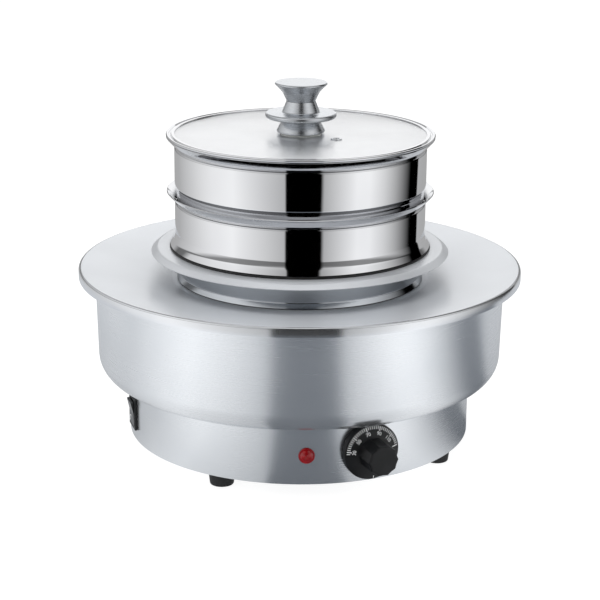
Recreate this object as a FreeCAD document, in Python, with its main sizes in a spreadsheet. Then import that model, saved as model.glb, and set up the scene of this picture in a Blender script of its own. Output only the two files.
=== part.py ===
import FreeCAD, Part
import os
import re
import Sketcher
from FreeCAD import Vector

# Electric dumpling steamer: a round water pan on a heated base, with a lift-off cover,
# an adapter ring, two nesting steam baskets and a glass lid. Millimetres, +Z up.
# The origin is the centre of the footprint on the table, and the controls face -Y.

doc = FreeCAD.newDocument("dumpling_steamer")
sheet = doc.addObject("Spreadsheet::Sheet", "Sizes")
aliases = set()
derived = {}
pieces = []


def expand(text):
    """Turns aliases and derived names into an expression on the sheet."""
    def swap(match):
        word = match.group(0)
        if word in derived:
            return "(" + expand(derived[word]) + ")"
        return "Sizes." + word if word in aliases else word
    return re.sub(r"[a-z][a-z0-9_]*", swap, str(text))


def read(text):
    """Value of an expression as a plain number."""
    value = sheet.evalExpression(expand(text))
    return float(getattr(value, "Value", value))


def bind(target, path, text):
    target.setExpression(path, expand(text))


# Base: rubber feet, bottom plate and the rolled shell
foot_height = 12  # rubber foot below the bottom plate
foot_radius = 12.5  # rubber foot at its top
foot_tread_radius = 11  # rubber foot at the table
foot_inset = 16  # centre of a foot in from the base shell
foot_count = 4  # feet
foot_recess = 6.5  # depth of the nut recess in a foot
foot_recess_radius = 6  # nut recess in a foot
plate_gauge = 1  # bottom plate sheet
plate_margin = 3  # bottom plate inside the shell
vent_count = 12  # vent slots in the bottom plate
vent_length = 30  # vent slot length
vent_width = 5  # vent slot width
vent_circle = 84  # radius of the circle of vent slots
base_radius = 166  # base shell outside
base_height = 57  # base shell
base_gauge = 1  # base shell sheet
base_lip = 10  # turned-in edge of the base shell
stud_radius = 2.5  # stud that ties pan, base and foot
stud_nut_radius = 4.6  # stud nut over its corners
nut_height = 4  # hexagon nut

# Water pan
pan_floor_radius = 194.9  # pan wall at the floor
pan_mouth_radius = 197.3  # pan wall at the mouth
pan_depth = 103.2  # pan outside depth
pan_corner = 21  # pan corner radius
pan_gauge = 1.2  # pan sheet
pan_rim = 12.5  # pan rim width

# Cover plate
seat_gap = 0.3  # play where a loose piece stands on the one below
cover_gauge = 1  # cover sheet
cover_play = 2.2  # play between cover skirt and pan rim
cover_skirt = 9.3  # cover skirt height
cover_dish = 13.3  # fall of the cover from edge to opening
cover_land_margin = 5.4  # flat land of the cover outside the adapter foot
cover_lip_radius = 113.6  # upstand round the opening
cover_lip = 8  # upstand height

# Adapter ring and seal
adapter_gauge = 1  # adapter sheet
adapter_height = 29.8  # adapter ring
adapter_foot_spread = 3  # widening of the adapter foot
adapter_foot_rise = 4.9  # height of the flared foot
collar_play = 2  # collar outside the upstand of the cover
collar_flare = 4.7  # widening of the collar to its top
flange_shelf = 12  # flat part of the flange outside the seal
flange_roll = 5.2  # width of the rolled flange edge
flange_drop = 4.2  # fall of the rolled flange edge
seal_margin = 0.3  # seal ring past the basket foot
seal_height = 2.2  # seal ring
seal_overhang = 0.4  # seal ring inside past the collar

# Baskets
basket_radius = 120  # basket wall outside
basket_gauge = 0.8  # basket sheet
rim_flare = 7.7  # widening of a basket rim
rim_rise = 8.2  # height of a basket rim
bead_depth = 2  # depth of the bead that carries the next basket
bead_half = 1.7  # half height of the bead
lower_height = 52.8  # lower basket
foot_flare = 4.9  # widening of the lower basket foot
foot_flare_rise = 12.6  # height of the lower basket foot
lower_floor_lift = 5.8  # lower floor above the flared foot
floor_flange = 6  # turned-up edge of the lower floor
floor_fit = 0.1  # play round a welded floor
upper_height = 60.8  # upper basket
nest_gap = 0.8  # play of the nesting foot
shoulder_clear = 1.1  # shoulder above the rim it nests in
shoulder_rise = 4.7  # height of the shoulder
upper_ledge = 10  # turned-in edge that carries the upper floor
hole_radius = 4.5  # steam hole
hole_pitch = 30  # spacing of the rings of steam holes
hole_rings = 3  # rings of steam holes

# Lid
lid_margin = 0.9  # lid rim past the basket rim
lid_rim_gauge = 1.9  # part of the lid rim over the basket rim
lid_lip = 0.9  # lid rim lip over and under the glass
lid_wall = 1  # lid rim sheet round the glass edge
tongue_gap = 0.6  # play of the lid tongue in the basket rim
glass_hold = 1.7  # glass edge covered by the lid rim
glass_gauge = 4  # glass
glass_play = 0.2  # play of the glass in the rim
eyelet_circle = 44  # steam eyelet from the lid centre
eyelet_turn = 32  # steam eyelet, degrees from the front
eyelet_radius = 5.2  # steam eyelet flange
eyelet_shank = 4  # steam eyelet shank
eyelet_bore = 2.5  # steam eyelet hole
eyelet_flange = 1  # steam eyelet flange thickness
hole_play = 0.2  # play in a clearance hole
thread_play = 0.05  # play between screwed pieces
knob_screw_radius = 3  # lid knob screw
knob_head_radius = 7  # lid knob screw head
knob_head = 3  # lid knob screw head height
washer_gauge = 2  # silicone washer
upper_washer_radius = 20  # washer on the glass
lower_washer_radius = 12  # washer under the glass
seat_radius = 22.8  # knob seat at the glass
seat_edge = 1.5  # knob seat edge
seat_height = 13.4  # knob seat
seat_top_radius = 16.5  # knob seat at its top
guard_radius = 33.8  # finger guard
guard_gauge = 5  # finger guard thickness
guard_bevel = 2.2  # finger guard edge
neck_radius = 16.6  # neck at the finger guard
neck_height = 10.7  # neck
waist_radius = 13.8  # waist of the knob
cap_height = 17.9  # knob cap
cap_radius = 25.2  # knob cap at its top
cap_edge = 1.2  # edge of the knob cap
cap_thread = 10  # screw length in the knob cap

# Heating element
tube_radius = 4  # heating tube
element_radius = 105  # heating loop
element_lift = 16  # heating loop above the pan floor
element_gap = 15  # half the gap in the loop, degrees
tube_bend = 12  # bend into a heating leg
leg_drop = 22  # heating leg below the pan floor
gland_radius = 9  # gland collar
gland_collar = 3  # gland collar height
gland_thread = 6.5  # gland thread radius
gland_length = 11  # gland thread below the pan floor
gland_nut = 10.4  # gland nut over its corners, radius
gland_nut_height = 5  # gland nut

# Controls
knob_turn = 5.6  # thermostat, degrees from the front
knob_height = 43  # thermostat centre above the table
dial_gap = 1.2  # dial clear of the shell
dial_radius = 25.5  # dial skirt
dial_side = 6  # dial side
dial_rise = 4  # rise of the dial face
dial_wall = 2.2  # dial wall
grip_radius = 14  # grip
grip_length = 22  # grip
flat_count = 10  # flats round the grip
flat_inset = 0.8  # flats inside the round of the grip
shaft_radius = 3  # thermostat shaft
thermostat_half = 18  # half width of the thermostat body
thermostat_depth = 26  # thermostat body
bushing_radius = 5  # thermostat bushing
bushing_length = 3  # thermostat bushing outside the shell
bushing_nut_radius = 8  # thermostat nut over its corners
bushing_nut = 2  # thermostat nut thickness
capillary_radius = 1.2  # capillary tube
capillary_bend = 12  # capillary bend
capillary_leg = 3  # straight of the capillary under the sensor bulb
bulb_radius = 3  # sensor bulb
bulb_circle = 96  # sensor gland from the centre
bulb_lift = 12  # sensor bulb above the pan floor
bulb_bend = 10  # sensor bulb bend
bulb_length = 60  # straight of the sensor bulb
lamp_turn = -14.4  # pilot lamp, degrees from the front
lamp_height = 41  # pilot lamp centre above the table
lens_radius = 7.5  # pilot lens
lens_edge = 1.6  # pilot lens edge
lens_dome = 2.6  # pilot lens dome
lamp_radius = 5.8  # pilot lamp body
lamp_length = 26  # pilot lamp body
lamp_nut_radius = 8.6  # pilot lamp nut
lamp_nut = 3.5  # pilot lamp nut thickness
switch_turn = -90  # switch, degrees from the front
switch_height = 39  # switch centre above the table
bezel_width = 25.5  # switch bezel
bezel_height = 31  # switch bezel
bezel_gauge = 2  # switch bezel thickness
switch_wall = 1.25  # switch housing wall
switch_width = 21.5  # switch housing
switch_body = 28  # switch housing height
switch_depth = 24  # switch housing behind the bezel
rocker_play = 0.3  # play beside the rocker
rocker_end_play = 0.9  # play above and below the rocker
rocker_stand = 4.2  # rocker ends in front of its pivot
rocker_dip = 1.2  # hollow of the rocker face
rocker_back = 5  # rocker behind its pivot
rocker_tilt = 7  # rocker tilt, degrees
pivot_radius = 1.2  # rocker pivot
pivot_inset = 0.5  # rocker pivot behind the shell face
pivot_length = 0.9  # rocker pivot beyond its side
blade_width = 6.3  # switch terminal
blade_length = 9  # switch terminal
blade_gauge = 0.8  # switch terminal thickness
cord_gland_height = 34  # cord gland centre above the table
cord_gland_radius = 9.5  # cord gland head
cord_gland_head = 9  # cord gland head length
cord_gland_thread = 6.8  # cord gland thread radius
cord_gland_length = 12  # cord gland thread length
cord_gland_bore = 3.6  # cord gland bore
block_width = 36  # terminal block
block_depth = 18  # terminal block
block_height = 14  # terminal block
block_inset = 54  # terminal block in from the shell
pole_radius = 3.2  # terminal block pole
earth_place = 34  # earth stud beside the terminal block
earth_length = 14  # earth stud

# The sheet holds every driving dimension above under its own name
numbers = [(name, value) for name, value in globals().items() if type(value) in (int, float)]
for row, (name, value) in enumerate(numbers, 1):
    sheet.set("A%d" % row, name.replace("_", " "))
    sheet.set("B%d" % row, str(value))
    sheet.setAlias("B%d" % row, name)
    aliases.add(name)

# What fits, stands on or lines up with another piece is worked out from it
derived["foot_circle"] = "base_radius - foot_inset"
derived["block_place"] = "base_radius - block_inset"
derived["plate_top"] = "foot_height + plate_gauge"
derived["pan_floor"] = "plate_top + base_height"
derived["pan_top"] = "pan_floor + pan_depth"
derived["collar_low_radius"] = "cover_lip_radius + collar_play"
derived["adapter_foot_radius"] = "collar_low_radius + adapter_foot_spread"
derived["cover_land_radius"] = "adapter_foot_radius + cover_land_margin"
derived["cover_radius"] = "pan_mouth_radius + pan_rim + cover_play + cover_gauge"
derived["cover_slope"] = "cover_dish / (cover_radius - cover_land_radius)"
derived["cover_drop"] = "cover_gauge * sqrt(1 + cover_slope * cover_slope)"
derived["cover_edge"] = "pan_top + seat_gap + cover_drop + cover_slope * (cover_radius - pan_mouth_radius)"
derived["cover_land"] = "cover_edge - cover_dish"
derived["foot_lean"] = "sqrt((adapter_foot_radius - collar_low_radius)^2 + adapter_foot_rise^2)"
derived["foot_tuck"] = "adapter_gauge * (adapter_foot_radius - collar_low_radius) / foot_lean"
derived["adapter_foot"] = "cover_land + seat_gap + foot_tuck"
derived["adapter_top"] = "adapter_foot + adapter_height"
derived["collar_high_radius"] = "collar_low_radius + collar_flare"
derived["seal_radius"] = "basket_radius + foot_flare + seal_margin"
derived["flange_flat_radius"] = "seal_radius + flange_shelf"
derived["flange_radius"] = "flange_flat_radius + flange_roll"
derived["seal_top"] = "adapter_top + seal_height"
derived["lower_foot"] = "seal_top + seat_gap"
derived["lower_rim"] = "lower_foot + lower_height"
derived["lower_bead"] = "lower_rim - rim_rise - bead_half"
derived["basket_bore"] = "basket_radius - basket_gauge"
derived["nest_radius"] = "basket_bore - nest_gap"
derived["upper_foot"] = "lower_bead + bead_half * (bead_depth - nest_gap) / bead_depth + seat_gap"
derived["upper_rim"] = "upper_foot + upper_height"
derived["upper_bead"] = "upper_rim - rim_rise - bead_half"
derived["lid_base"] = "upper_rim + seat_gap"
derived["lid_top"] = "lid_base + lid_rim_gauge"
derived["glass_top"] = "lid_top - lid_lip - glass_play"
derived["glass_base"] = "glass_top - glass_gauge"
derived["lid_bottom"] = "glass_base - glass_play - lid_lip"
derived["lid_radius"] = "basket_bore + rim_flare + lid_margin"
derived["tongue_top"] = "basket_bore + rim_flare - tongue_gap"
derived["tongue_foot"] = "tongue_top - rim_flare * (upper_rim - lid_bottom) / rim_rise"
derived["glass_radius"] = "tongue_foot - lid_wall - glass_play"
derived["lid_lip_radius"] = "glass_radius - glass_hold"
derived["seat_base"] = "glass_top + washer_gauge"
derived["guard_base"] = "seat_base + seat_height"
derived["neck_base"] = "guard_base + guard_gauge"
derived["waist"] = "neck_base + neck_height"
derived["cap_top"] = "waist + cap_height"
derived["foot_end"] = "foot_recess - nut_height - seat_gap"
derived["thermostat_face"] = "sqrt((base_radius - base_gauge)^2 - thermostat_half^2) - thread_play"
derived["bulb_foot"] = "knob_height + capillary_bend + capillary_leg"
derived["dial_back"] = "base_radius + dial_gap"
derived["dial_face"] = "dial_back + dial_side"
derived["grip_base"] = "dial_face + dial_rise"
doc.recompute()


def locked(sketch, spot, across, up):
    """Locks a point of a sketch to two sheet expressions, or to an axis where one is zero."""
    for kind, text, axis in (("DistanceX", across, -2), ("DistanceY", up, -1)):
        value = read(text)
        if abs(value) < 1e-7:
            sketch.addConstraint(Sketcher.Constraint("PointOnObject", spot[0], spot[1], axis))
        else:
            index = sketch.addConstraint(Sketcher.Constraint(kind, spot[0], spot[1], value))
            bind(sketch, "Constraints[%d]" % index, text)


def draw(sketch, corners, closed=True):
    """Straight lines through corners of (across, up)."""
    spots = [Vector(read(across), read(up), 0) for across, up in corners]
    count = len(corners)
    lines = []
    for index in range(count if closed else count - 1):
        ends = spots[index], spots[(index + 1) % count]
        lines.append(sketch.addGeometry(Part.LineSegment(*ends)))
    for index, (across, up) in enumerate(corners):
        if index == count - 1 and not closed:
            locked(sketch, (lines[-1], 2), across, up)
            continue
        if index or closed:
            joint = Sketcher.Constraint("Coincident", lines[index - 1], 2, lines[index], 1)
            sketch.addConstraint(joint)
        locked(sketch, (lines[index], 1), across, up)


def even_corners(count, radius, across="0", up="0"):
    """Corners of a regular polygon about a point."""
    turns = ["360 * %d / %d" % (index, count) for index in range(count)]
    return [("%s + (%s) * cos(%s)" % (across, radius, turn),
             "%s + (%s) * sin(%s)" % (up, radius, turn)) for turn in turns]


def circle(sketch, across, up, radius):
    """A circle whose centre and radius follow the sheet."""
    centre = Vector(read(across), read(up), 0)
    ring = sketch.addGeometry(Part.Circle(centre, Vector(0, 0, 1), read(radius)))
    index = sketch.addConstraint(Sketcher.Constraint("Radius", ring, read(radius)))
    bind(sketch, "Constraints[%d]" % index, radius)
    locked(sketch, (ring, 3), across, up)


def datum(body, role):
    """An origin plane or axis of a body."""
    return [feature for feature in body.Origin.OriginFeatures if feature.Role == role][0]


def keep(piece, node):
    """Names a finished piece after its file and puts it on the list to write."""
    piece.Label = node
    pieces.append(piece)
    return piece


def new_body(node):
    return keep(doc.addObject("PartDesign::Body", node), node)


def new_sketch(body, role, lift=None):
    """A sketch on an origin plane of its body, lifted off that plane if asked."""
    sketch = body.newObject("Sketcher::SketchObject", body.Name + "_sketch")
    sketch.AttachmentSupport = [(datum(body, role), "")]
    sketch.MapMode = "FlatFace"
    if lift is not None:
        bind(sketch, "AttachmentOffset.Base.z", lift)
    return sketch


def revolve(body, corners, axis="V_Axis"):
    """Turns a closed half section about the upright or the level axis of the XZ plane."""
    sketch = new_sketch(body, "XZ_Plane")
    draw(sketch, corners)
    solid = body.newObject("PartDesign::Revolution", body.Name + "_turned")
    solid.Profile = sketch
    solid.ReferenceAxis = (sketch, [axis])
    solid.Angle = 360
    body.Tip = solid
    doc.recompute()
    return solid


def pad(body, sketch, length, both_ways=False):
    """Pads a sketch along its normal, or the same way to both sides."""
    solid = body.newObject("PartDesign::Pad", body.Name + "_pad")
    solid.Profile = sketch
    solid.SideType = "Symmetric" if both_ways else "One side"
    bind(solid, "Length", length)
    body.Tip = solid
    doc.recompute()
    return solid


def drill(body, sketch, depth=None):
    """Cuts a sketch through the body, or to a depth against the sketch's normal."""
    before = body.Shape.Volume
    cut = body.newObject("PartDesign::Pocket", body.Name + "_cut")
    cut.Profile = sketch
    if depth is None:
        cut.SideType = "Symmetric"
        cut.Type = "ThroughAll"
    else:
        bind(cut, "Length", depth)
    body.Tip = cut
    doc.recompute()
    if not body.Shape.Volume < before:
        raise RuntimeError(body.Name + ": a cut removed nothing")
    return cut


def ring_of(body, feature, count, axis="Z_Axis"):
    """Repeats a feature evenly round an axis of its body."""
    pattern = body.newObject("PartDesign::PolarPattern", body.Name + "_ring")
    pattern.Originals = [feature]
    pattern.Axis = (datum(body, axis), [""])
    pattern.Angle = 360
    bind(pattern, "Occurrences", count)
    body.Tip = pattern
    doc.recompute()
    return pattern


def face_out(piece, turn, height):
    """Turns a piece modelled along +X to its place round the shell, at its height."""
    spot = "placement(vector(0; 0; %s); rotationz(%s - 90))" % (height, turn)
    bind(piece, "Placement", spot)


def stand_at(piece, across, back, height):
    spot = "placement(vector(%s; %s; %s); rotationz(0))" % (across, back, height)
    bind(piece, "Placement", spot)


def spun_sheet(node, corners, gauge, finish=True):
    """Sheet metal spun along an open path; the gauge is laid to the left of the path."""
    path = doc.addObject("Sketcher::SketchObject", node + "_path")
    path.Placement = FreeCAD.Placement(Vector(0, 0, 0), FreeCAD.Rotation(Vector(1, 0, 0), 90))
    draw(path, corners, closed=False)
    doc.recompute()
    section = doc.addObject("Part::Offset2D", node + "_section")
    section.Source = path
    section.Mode = "Skin"
    section.Join = "Intersection"
    section.Fill = True
    bind(section, "Value", gauge)
    shell = doc.addObject("Part::Revolution", node + "_spun")
    shell.Source = section
    shell.Axis = Vector(0, 0, 1)
    shell.Angle = 360
    shell.Solid = True
    doc.recompute()
    return keep(shell, node) if finish else shell


def rod(name, radius, length, spot):
    """A cylinder placed by an expression."""
    cylinder = doc.addObject("Part::Cylinder", name)
    bind(cylinder, "Radius", radius)
    bind(cylinder, "Height", length)
    bind(cylinder, "Placement", spot)
    return cylinder


def cut_away(node, base, tools):
    """Cuts a group of tools that don't touch each other out of a piece."""
    group = doc.addObject("Part::Compound", node + "_tools")
    group.Links = tools
    result = doc.addObject("Part::Cut", node + "_cut")
    result.Base = base
    result.Tool = group
    doc.recompute()
    return keep(result, node)


def radial(turn, height, start):
    """Placement of a rod that points out of the shell, starting at a radius."""
    level = "placement(vector(0; 0; %s); rotationz(%s - 90))" % (height, turn)
    return level + " * placement(vector(%s; 0; 0); rotationy(90))" % start


# Places of the two heating legs and of the sensor gland in the pan floor
loop_ends = ("90 + element_gap", "90 - element_gap")
legs = []
for angle, side in zip(loop_ends, ("1", "-1")):
    leg_x = "(element_radius * cos(%s) + %s * tube_bend * sin(%s))" % (angle, side, angle)
    leg_y = "(element_radius * sin(%s) - %s * tube_bend * cos(%s))" % (angle, side, angle)
    legs.append((leg_x, leg_y))
bulb_spot = ("bulb_circle * sin(knob_turn)", "-bulb_circle * cos(knob_turn)")
floor_holes = legs + [bulb_spot]


def feet():
    body = new_body("feet")
    sketch = new_sketch(body, "XZ_Plane")
    shank = "foot_circle + stud_radius + hole_play"
    draw(sketch, [
        ("foot_circle + foot_recess_radius", "0"),
        ("foot_circle + foot_tread_radius", "0"),
        ("foot_circle + foot_radius", "foot_height"),
        (shank, "foot_height"),
        (shank, "foot_recess"),
        ("foot_circle + foot_recess_radius", "foot_recess"),
    ])
    own_ring(body, sketch, "foot_circle", "foot_count")
    diagonal(body, "foot_count")


def own_ring(body, sketch, place, count):
    """Turns a section about its own upright line and repeats it round the machine."""
    foot = Vector(read(place), 0, 0)
    rise = read("foot_height")
    line = sketch.addGeometry(Part.LineSegment(foot, foot + Vector(0, rise, 0)), True)
    sketch.addConstraint(Sketcher.Constraint("Vertical", line))
    locked(sketch, (line, 1), place, "0")
    index = sketch.addConstraint(Sketcher.Constraint("Distance", line, rise))
    bind(sketch, "Constraints[%d]" % index, "foot_height")
    solid = body.newObject("PartDesign::Revolution", body.Name + "_turned")
    solid.Profile = sketch
    solid.ReferenceAxis = (sketch, ["Axis0"])
    solid.Angle = 360
    doc.recompute()
    ring_of(body, solid, count)


def diagonal(piece, count):
    """Sets a ring of pieces half a step round, clear of the front."""
    bind(piece, "Placement", "placement(vector(0; 0; 0); rotationz(180 / %s))" % count)


def hexagon_nuts(node, places, radius, bore, height, spot):
    """A group of hexagon nuts at places of (across, back), each with its bore."""
    nuts = []
    for index, (across, back) in enumerate(places):
        place = "placement(vector(%s; %s; %s); rotationz(0))" % (across, back, spot)
        prism = doc.addObject("Part::Prism", "%s_prism_%d" % (node, index))
        prism.Polygon = 6
        bind(prism, "Circumradius", radius)
        bind(prism, "Height", height)
        bind(prism, "Placement", place)
        hole = rod("%s_bore_%d" % (node, index), bore, height, place)
        nut = doc.addObject("Part::Cut", "%s_nut_%d" % (node, index))
        nut.Base = prism
        nut.Tool = hole
        nuts.append(nut)
    group = doc.addObject("Part::Compound", node + "_group")
    group.Links = nuts
    doc.recompute()
    return keep(group, node)


def ring_places(circle_radius, count):
    """Places half a step round from the front, on a circle."""
    number = int(read(count))
    angles = ["(360 * %d + 180) / %s" % (index, count) for index in range(number)]
    return [("%s * cos(%s)" % (circle_radius, angle), "%s * sin(%s)" % (circle_radius, angle))
            for angle in angles]


def bottom_plate():
    body = new_body("bottom_plate")
    sketch = new_sketch(body, "XY_Plane", "foot_height")
    circle(sketch, "0", "0", "base_radius - plate_margin")
    pad(body, sketch, "plate_gauge")
    slot = new_sketch(body, "XY_Plane")
    draw(slot, [
        ("vent_circle - vent_length / 2", "-vent_width / 2"),
        ("vent_circle + vent_length / 2", "-vent_width / 2"),
        ("vent_circle + vent_length / 2", "vent_width / 2"),
        ("vent_circle - vent_length / 2", "vent_width / 2"),
    ])
    ring_of(body, drill(body, slot), "vent_count")
    hole = new_sketch(body, "XY_Plane")
    across, back = ring_places("foot_circle", "foot_count")[0]
    circle(hole, across, back, "stud_radius + hole_play")
    ring_of(body, drill(body, hole), "foot_count")


def base_shell():
    shell = spun_sheet("base_wall", [
        ("base_radius", "pan_floor"),
        ("base_radius", "plate_top"),
        ("base_radius - base_lip", "plate_top"),
    ], "-base_gauge", finish=False)
    through = "base_gauge * 12"
    start = "base_radius - base_gauge * 6"
    shaft_hole = "bushing_radius + hole_play"
    lamp_hole = "lamp_radius + hole_play"
    cord_hole = "cord_gland_thread + hole_play"
    tools = [
        rod("shaft_hole", shaft_hole, through, radial("knob_turn", "knob_height", start)),
        rod("lamp_hole", lamp_hole, through, radial("lamp_turn", "lamp_height", start)),
        rod("cord_hole", cord_hole, through, radial("180", "cord_gland_height", start)),
    ]
    window = doc.addObject("Part::Box", "switch_hole")
    bind(window, "Length", through)
    bind(window, "Width", "switch_width + 2 * hole_play")
    bind(window, "Height", "switch_body + 2 * hole_play")
    corner = "vector(%s; -switch_width / 2 - hole_play; -switch_body / 2 - hole_play)" % start
    frame = "placement(vector(0; 0; switch_height); rotationz(switch_turn - 90))"
    bind(window, "Placement", frame + " * placement(%s; rotationz(0))" % corner)
    cut_away("base_shell", shell, tools + [window])


def tie_studs():
    studs = []
    for index, (across, back) in enumerate(ring_places("foot_circle", "foot_count")):
        spot = "placement(vector(%s; %s; foot_end); rotationz(0))" % (across, back)
        studs.append(rod("tie_stud_%d" % index, "stud_radius", "pan_floor - (foot_end)", spot))
    group = doc.addObject("Part::Compound", "tie_stud_group")
    group.Links = studs
    doc.recompute()
    keep(group, "tie_studs")


def pan():
    corner = [("pan_floor_radius - pan_corner * (1 - sin(%d))" % turn,
               "pan_floor + pan_corner * (1 - cos(%d))" % turn) for turn in (0, 30, 60, 90)]
    shell = spun_sheet("pan_bowl", [("0", "pan_floor")] + corner + [
        ("pan_mouth_radius", "pan_top - pan_gauge"),
        ("pan_mouth_radius + pan_rim", "pan_top - pan_gauge"),
    ], "pan_gauge", finish=False)
    tools = []
    for index, (across, back) in enumerate(floor_holes):
        spot = "placement(vector(%s; %s; pan_floor - pan_gauge); rotationz(0))" % (across, back)
        hole = "gland_thread + hole_play"
        tools.append(rod("floor_hole_%d" % index, hole, "3 * pan_gauge", spot))
    cut_away("pan", shell, tools)


def cover_plate():
    spun_sheet("cover_plate", [
        ("cover_radius", "cover_edge - cover_skirt"),
        ("cover_radius", "cover_edge"),
        ("cover_land_radius", "cover_land"),
        ("cover_lip_radius", "cover_land"),
        ("cover_lip_radius", "cover_land + cover_lip"),
    ], "cover_gauge")


def adapter_ring():
    spun_sheet("adapter_ring", [
        ("adapter_foot_radius", "adapter_foot"),
        ("collar_low_radius", "adapter_foot + adapter_foot_rise"),
        ("collar_high_radius", "adapter_top - adapter_gauge"),
        ("flange_flat_radius", "adapter_top - adapter_gauge"),
        ("flange_radius", "adapter_top - adapter_gauge - flange_drop"),
    ], "adapter_gauge")


def ring(node, inner, outer, low, high):
    """A plain ring of rectangular section."""
    body = new_body(node)
    revolve(body, [(inner, low), (outer, low), (outer, high), (inner, high)])
    return body


def rim_path(bead, rim):
    """Bead and flared rim that top each basket, along the inside of the sheet."""
    return [
        ("basket_bore", bead + " - bead_half"),
        ("basket_bore - bead_depth", bead),
        ("basket_bore", bead + " + bead_half"),
        ("basket_bore + rim_flare", rim),
    ]


def lower_basket():
    spun_sheet("lower_basket_wall", [
        ("basket_bore + foot_flare", "lower_foot"),
        ("basket_bore + foot_flare / 3", "lower_foot + foot_flare_rise / 2.2"),
        ("basket_bore", "lower_foot + foot_flare_rise"),
    ] + rim_path("lower_bead", "lower_rim"), "-basket_gauge")
    level = "lower_foot + foot_flare_rise + lower_floor_lift"
    edge = "basket_bore - floor_fit"
    body = new_body("lower_basket_floor")
    revolve(body, [
        ("0", level),
        (edge, level),
        (edge, level + " + floor_flange"),
        (edge + " - basket_gauge", level + " + floor_flange"),
        (edge + " - basket_gauge", level + " + basket_gauge"),
        ("0", level + " + basket_gauge"),
    ])
    perforate(body)


def upper_basket():
    ledge = "upper_foot + basket_gauge"
    inside = "nest_radius - basket_gauge"
    spun_sheet("upper_basket_wall", [
        (inside + " - upper_ledge", ledge),
        (inside, ledge),
        (inside, "lower_rim + shoulder_clear"),
        ("basket_bore", "lower_rim + shoulder_clear + shoulder_rise"),
    ] + rim_path("upper_bead", "upper_rim"), "-basket_gauge")
    edge = inside + " - floor_fit"
    body = new_body("upper_basket_floor")
    top = ledge + " + basket_gauge"
    revolve(body, [("0", ledge), (edge, ledge), (edge, top), ("0", top)])
    perforate(body)


def perforate(body):
    """Punched steam holes: one in the middle and rings of six, twelve, eighteen and so on."""
    centre = new_sketch(body, "XY_Plane")
    draw(centre, even_corners(8, "hole_radius"))
    drill(body, centre)
    for number in range(1, int(read("hole_rings")) + 1):
        hole = new_sketch(body, "XY_Plane")
        draw(hole, even_corners(8, "hole_radius", "hole_pitch * %d" % number))
        ring_of(body, drill(body, hole), "6 * %d" % number)


def lid_rim():
    body = new_body("lid_rim")
    revolve(body, [
        ("lid_lip_radius", "lid_bottom"),
        ("tongue_foot", "lid_bottom"),
        ("tongue_top", "lid_base"),
        ("lid_radius", "lid_base"),
        ("lid_radius", "lid_top"),
        ("lid_lip_radius", "lid_top"),
        ("lid_lip_radius", "lid_top - lid_lip"),
        ("glass_radius + glass_play", "lid_top - lid_lip"),
        ("glass_radius + glass_play", "lid_bottom + lid_lip"),
        ("lid_lip_radius", "lid_bottom + lid_lip"),
    ])


def lid_glass():
    body = new_body("lid_glass")
    sketch = new_sketch(body, "XY_Plane", "glass_base")
    circle(sketch, "0", "0", "glass_radius")
    circle(sketch, "0", "0", "knob_screw_radius + 4 * hole_play")
    circle(sketch, "eyelet_circle * sin(eyelet_turn)", "-eyelet_circle * cos(eyelet_turn)",
           "eyelet_shank + hole_play")
    pad(body, sketch, "glass_gauge")


def lid_eyelet():
    body = new_body("lid_steam_eyelet")
    low = "glass_base - glass_play"
    high = "glass_top + glass_play"
    revolve(body, [
        ("eyelet_bore", low + " - eyelet_flange"),
        ("eyelet_radius", low + " - eyelet_flange"),
        ("eyelet_radius", low),
        ("eyelet_shank", low),
        ("eyelet_shank", high),
        ("eyelet_radius", high),
        ("eyelet_bore", high + " + eyelet_flange"),
    ])
    stand_at(body, "eyelet_circle * sin(eyelet_turn)", "-eyelet_circle * cos(eyelet_turn)", "0")


def lid_knob():
    hole = "knob_screw_radius + 4 * hole_play"
    bore = "knob_screw_radius + hole_play"
    head_top = "glass_base - washer_gauge / 2"
    ring("lid_upper_washer", hole, "upper_washer_radius", "glass_top", "seat_base")
    ring("lid_lower_washer", hole, "lower_washer_radius", head_top, "glass_base")
    tip = "waist + cap_thread"
    revolve(new_body("lid_knob_screw"), [
        ("0", head_top + " - knob_head"),
        ("knob_head_radius", head_top + " - knob_head"),
        ("knob_head_radius", head_top),
        ("knob_screw_radius", head_top),
        ("knob_screw_radius", tip),
        ("0", tip),
    ])
    revolve(new_body("lid_knob_seat"), [
        (bore, "seat_base"),
        ("seat_radius", "seat_base"),
        ("seat_radius", "seat_base + seat_edge"),
        ("seat_top_radius", "guard_base"),
        (bore, "guard_base"),
    ])
    revolve(new_body("lid_knob_guard"), [
        (bore, "guard_base"),
        ("guard_radius - guard_bevel", "guard_base"),
        ("guard_radius", "guard_base + guard_gauge / 2"),
        ("guard_radius - guard_bevel", "neck_base"),
        ("neck_radius", "neck_base"),
        ("waist_radius", "waist"),
        (bore, "waist"),
    ])
    cap_bore = "knob_screw_radius + thread_play"
    revolve(new_body("lid_knob_cap"), [
        (cap_bore, "waist"),
        ("waist_radius", "waist"),
        ("waist_radius + (cap_radius - waist_radius) * 0.35", "waist + cap_height / 2"),
        ("cap_radius", "cap_top - cap_edge"),
        ("cap_radius - cap_edge", "cap_top"),
        ("0", "cap_top"),
        ("0", tip + " + seat_gap"),
        (cap_bore, tip + " + seat_gap"),
    ])


def octagon_bend(name, radius, bend, turn, spot):
    """Quarter or longer bend of an eight-sided tube, from the top of its circle about X."""
    section = doc.addObject("Part::RegularPolygon", name + "_section")
    section.Polygon = 8
    bind(section, "Circumradius", radius)
    bind(section, "Placement", "placement(vector(0; 0; %s); rotationx(90) * rotationz(22.5))" % bend)
    swept = doc.addObject("Part::Revolution", name)
    swept.Source = section
    swept.Axis = Vector(1, 0, 0)
    swept.Solid = True
    bind(swept, "Angle", turn)
    bind(swept, "Placement", spot)
    return swept


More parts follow.
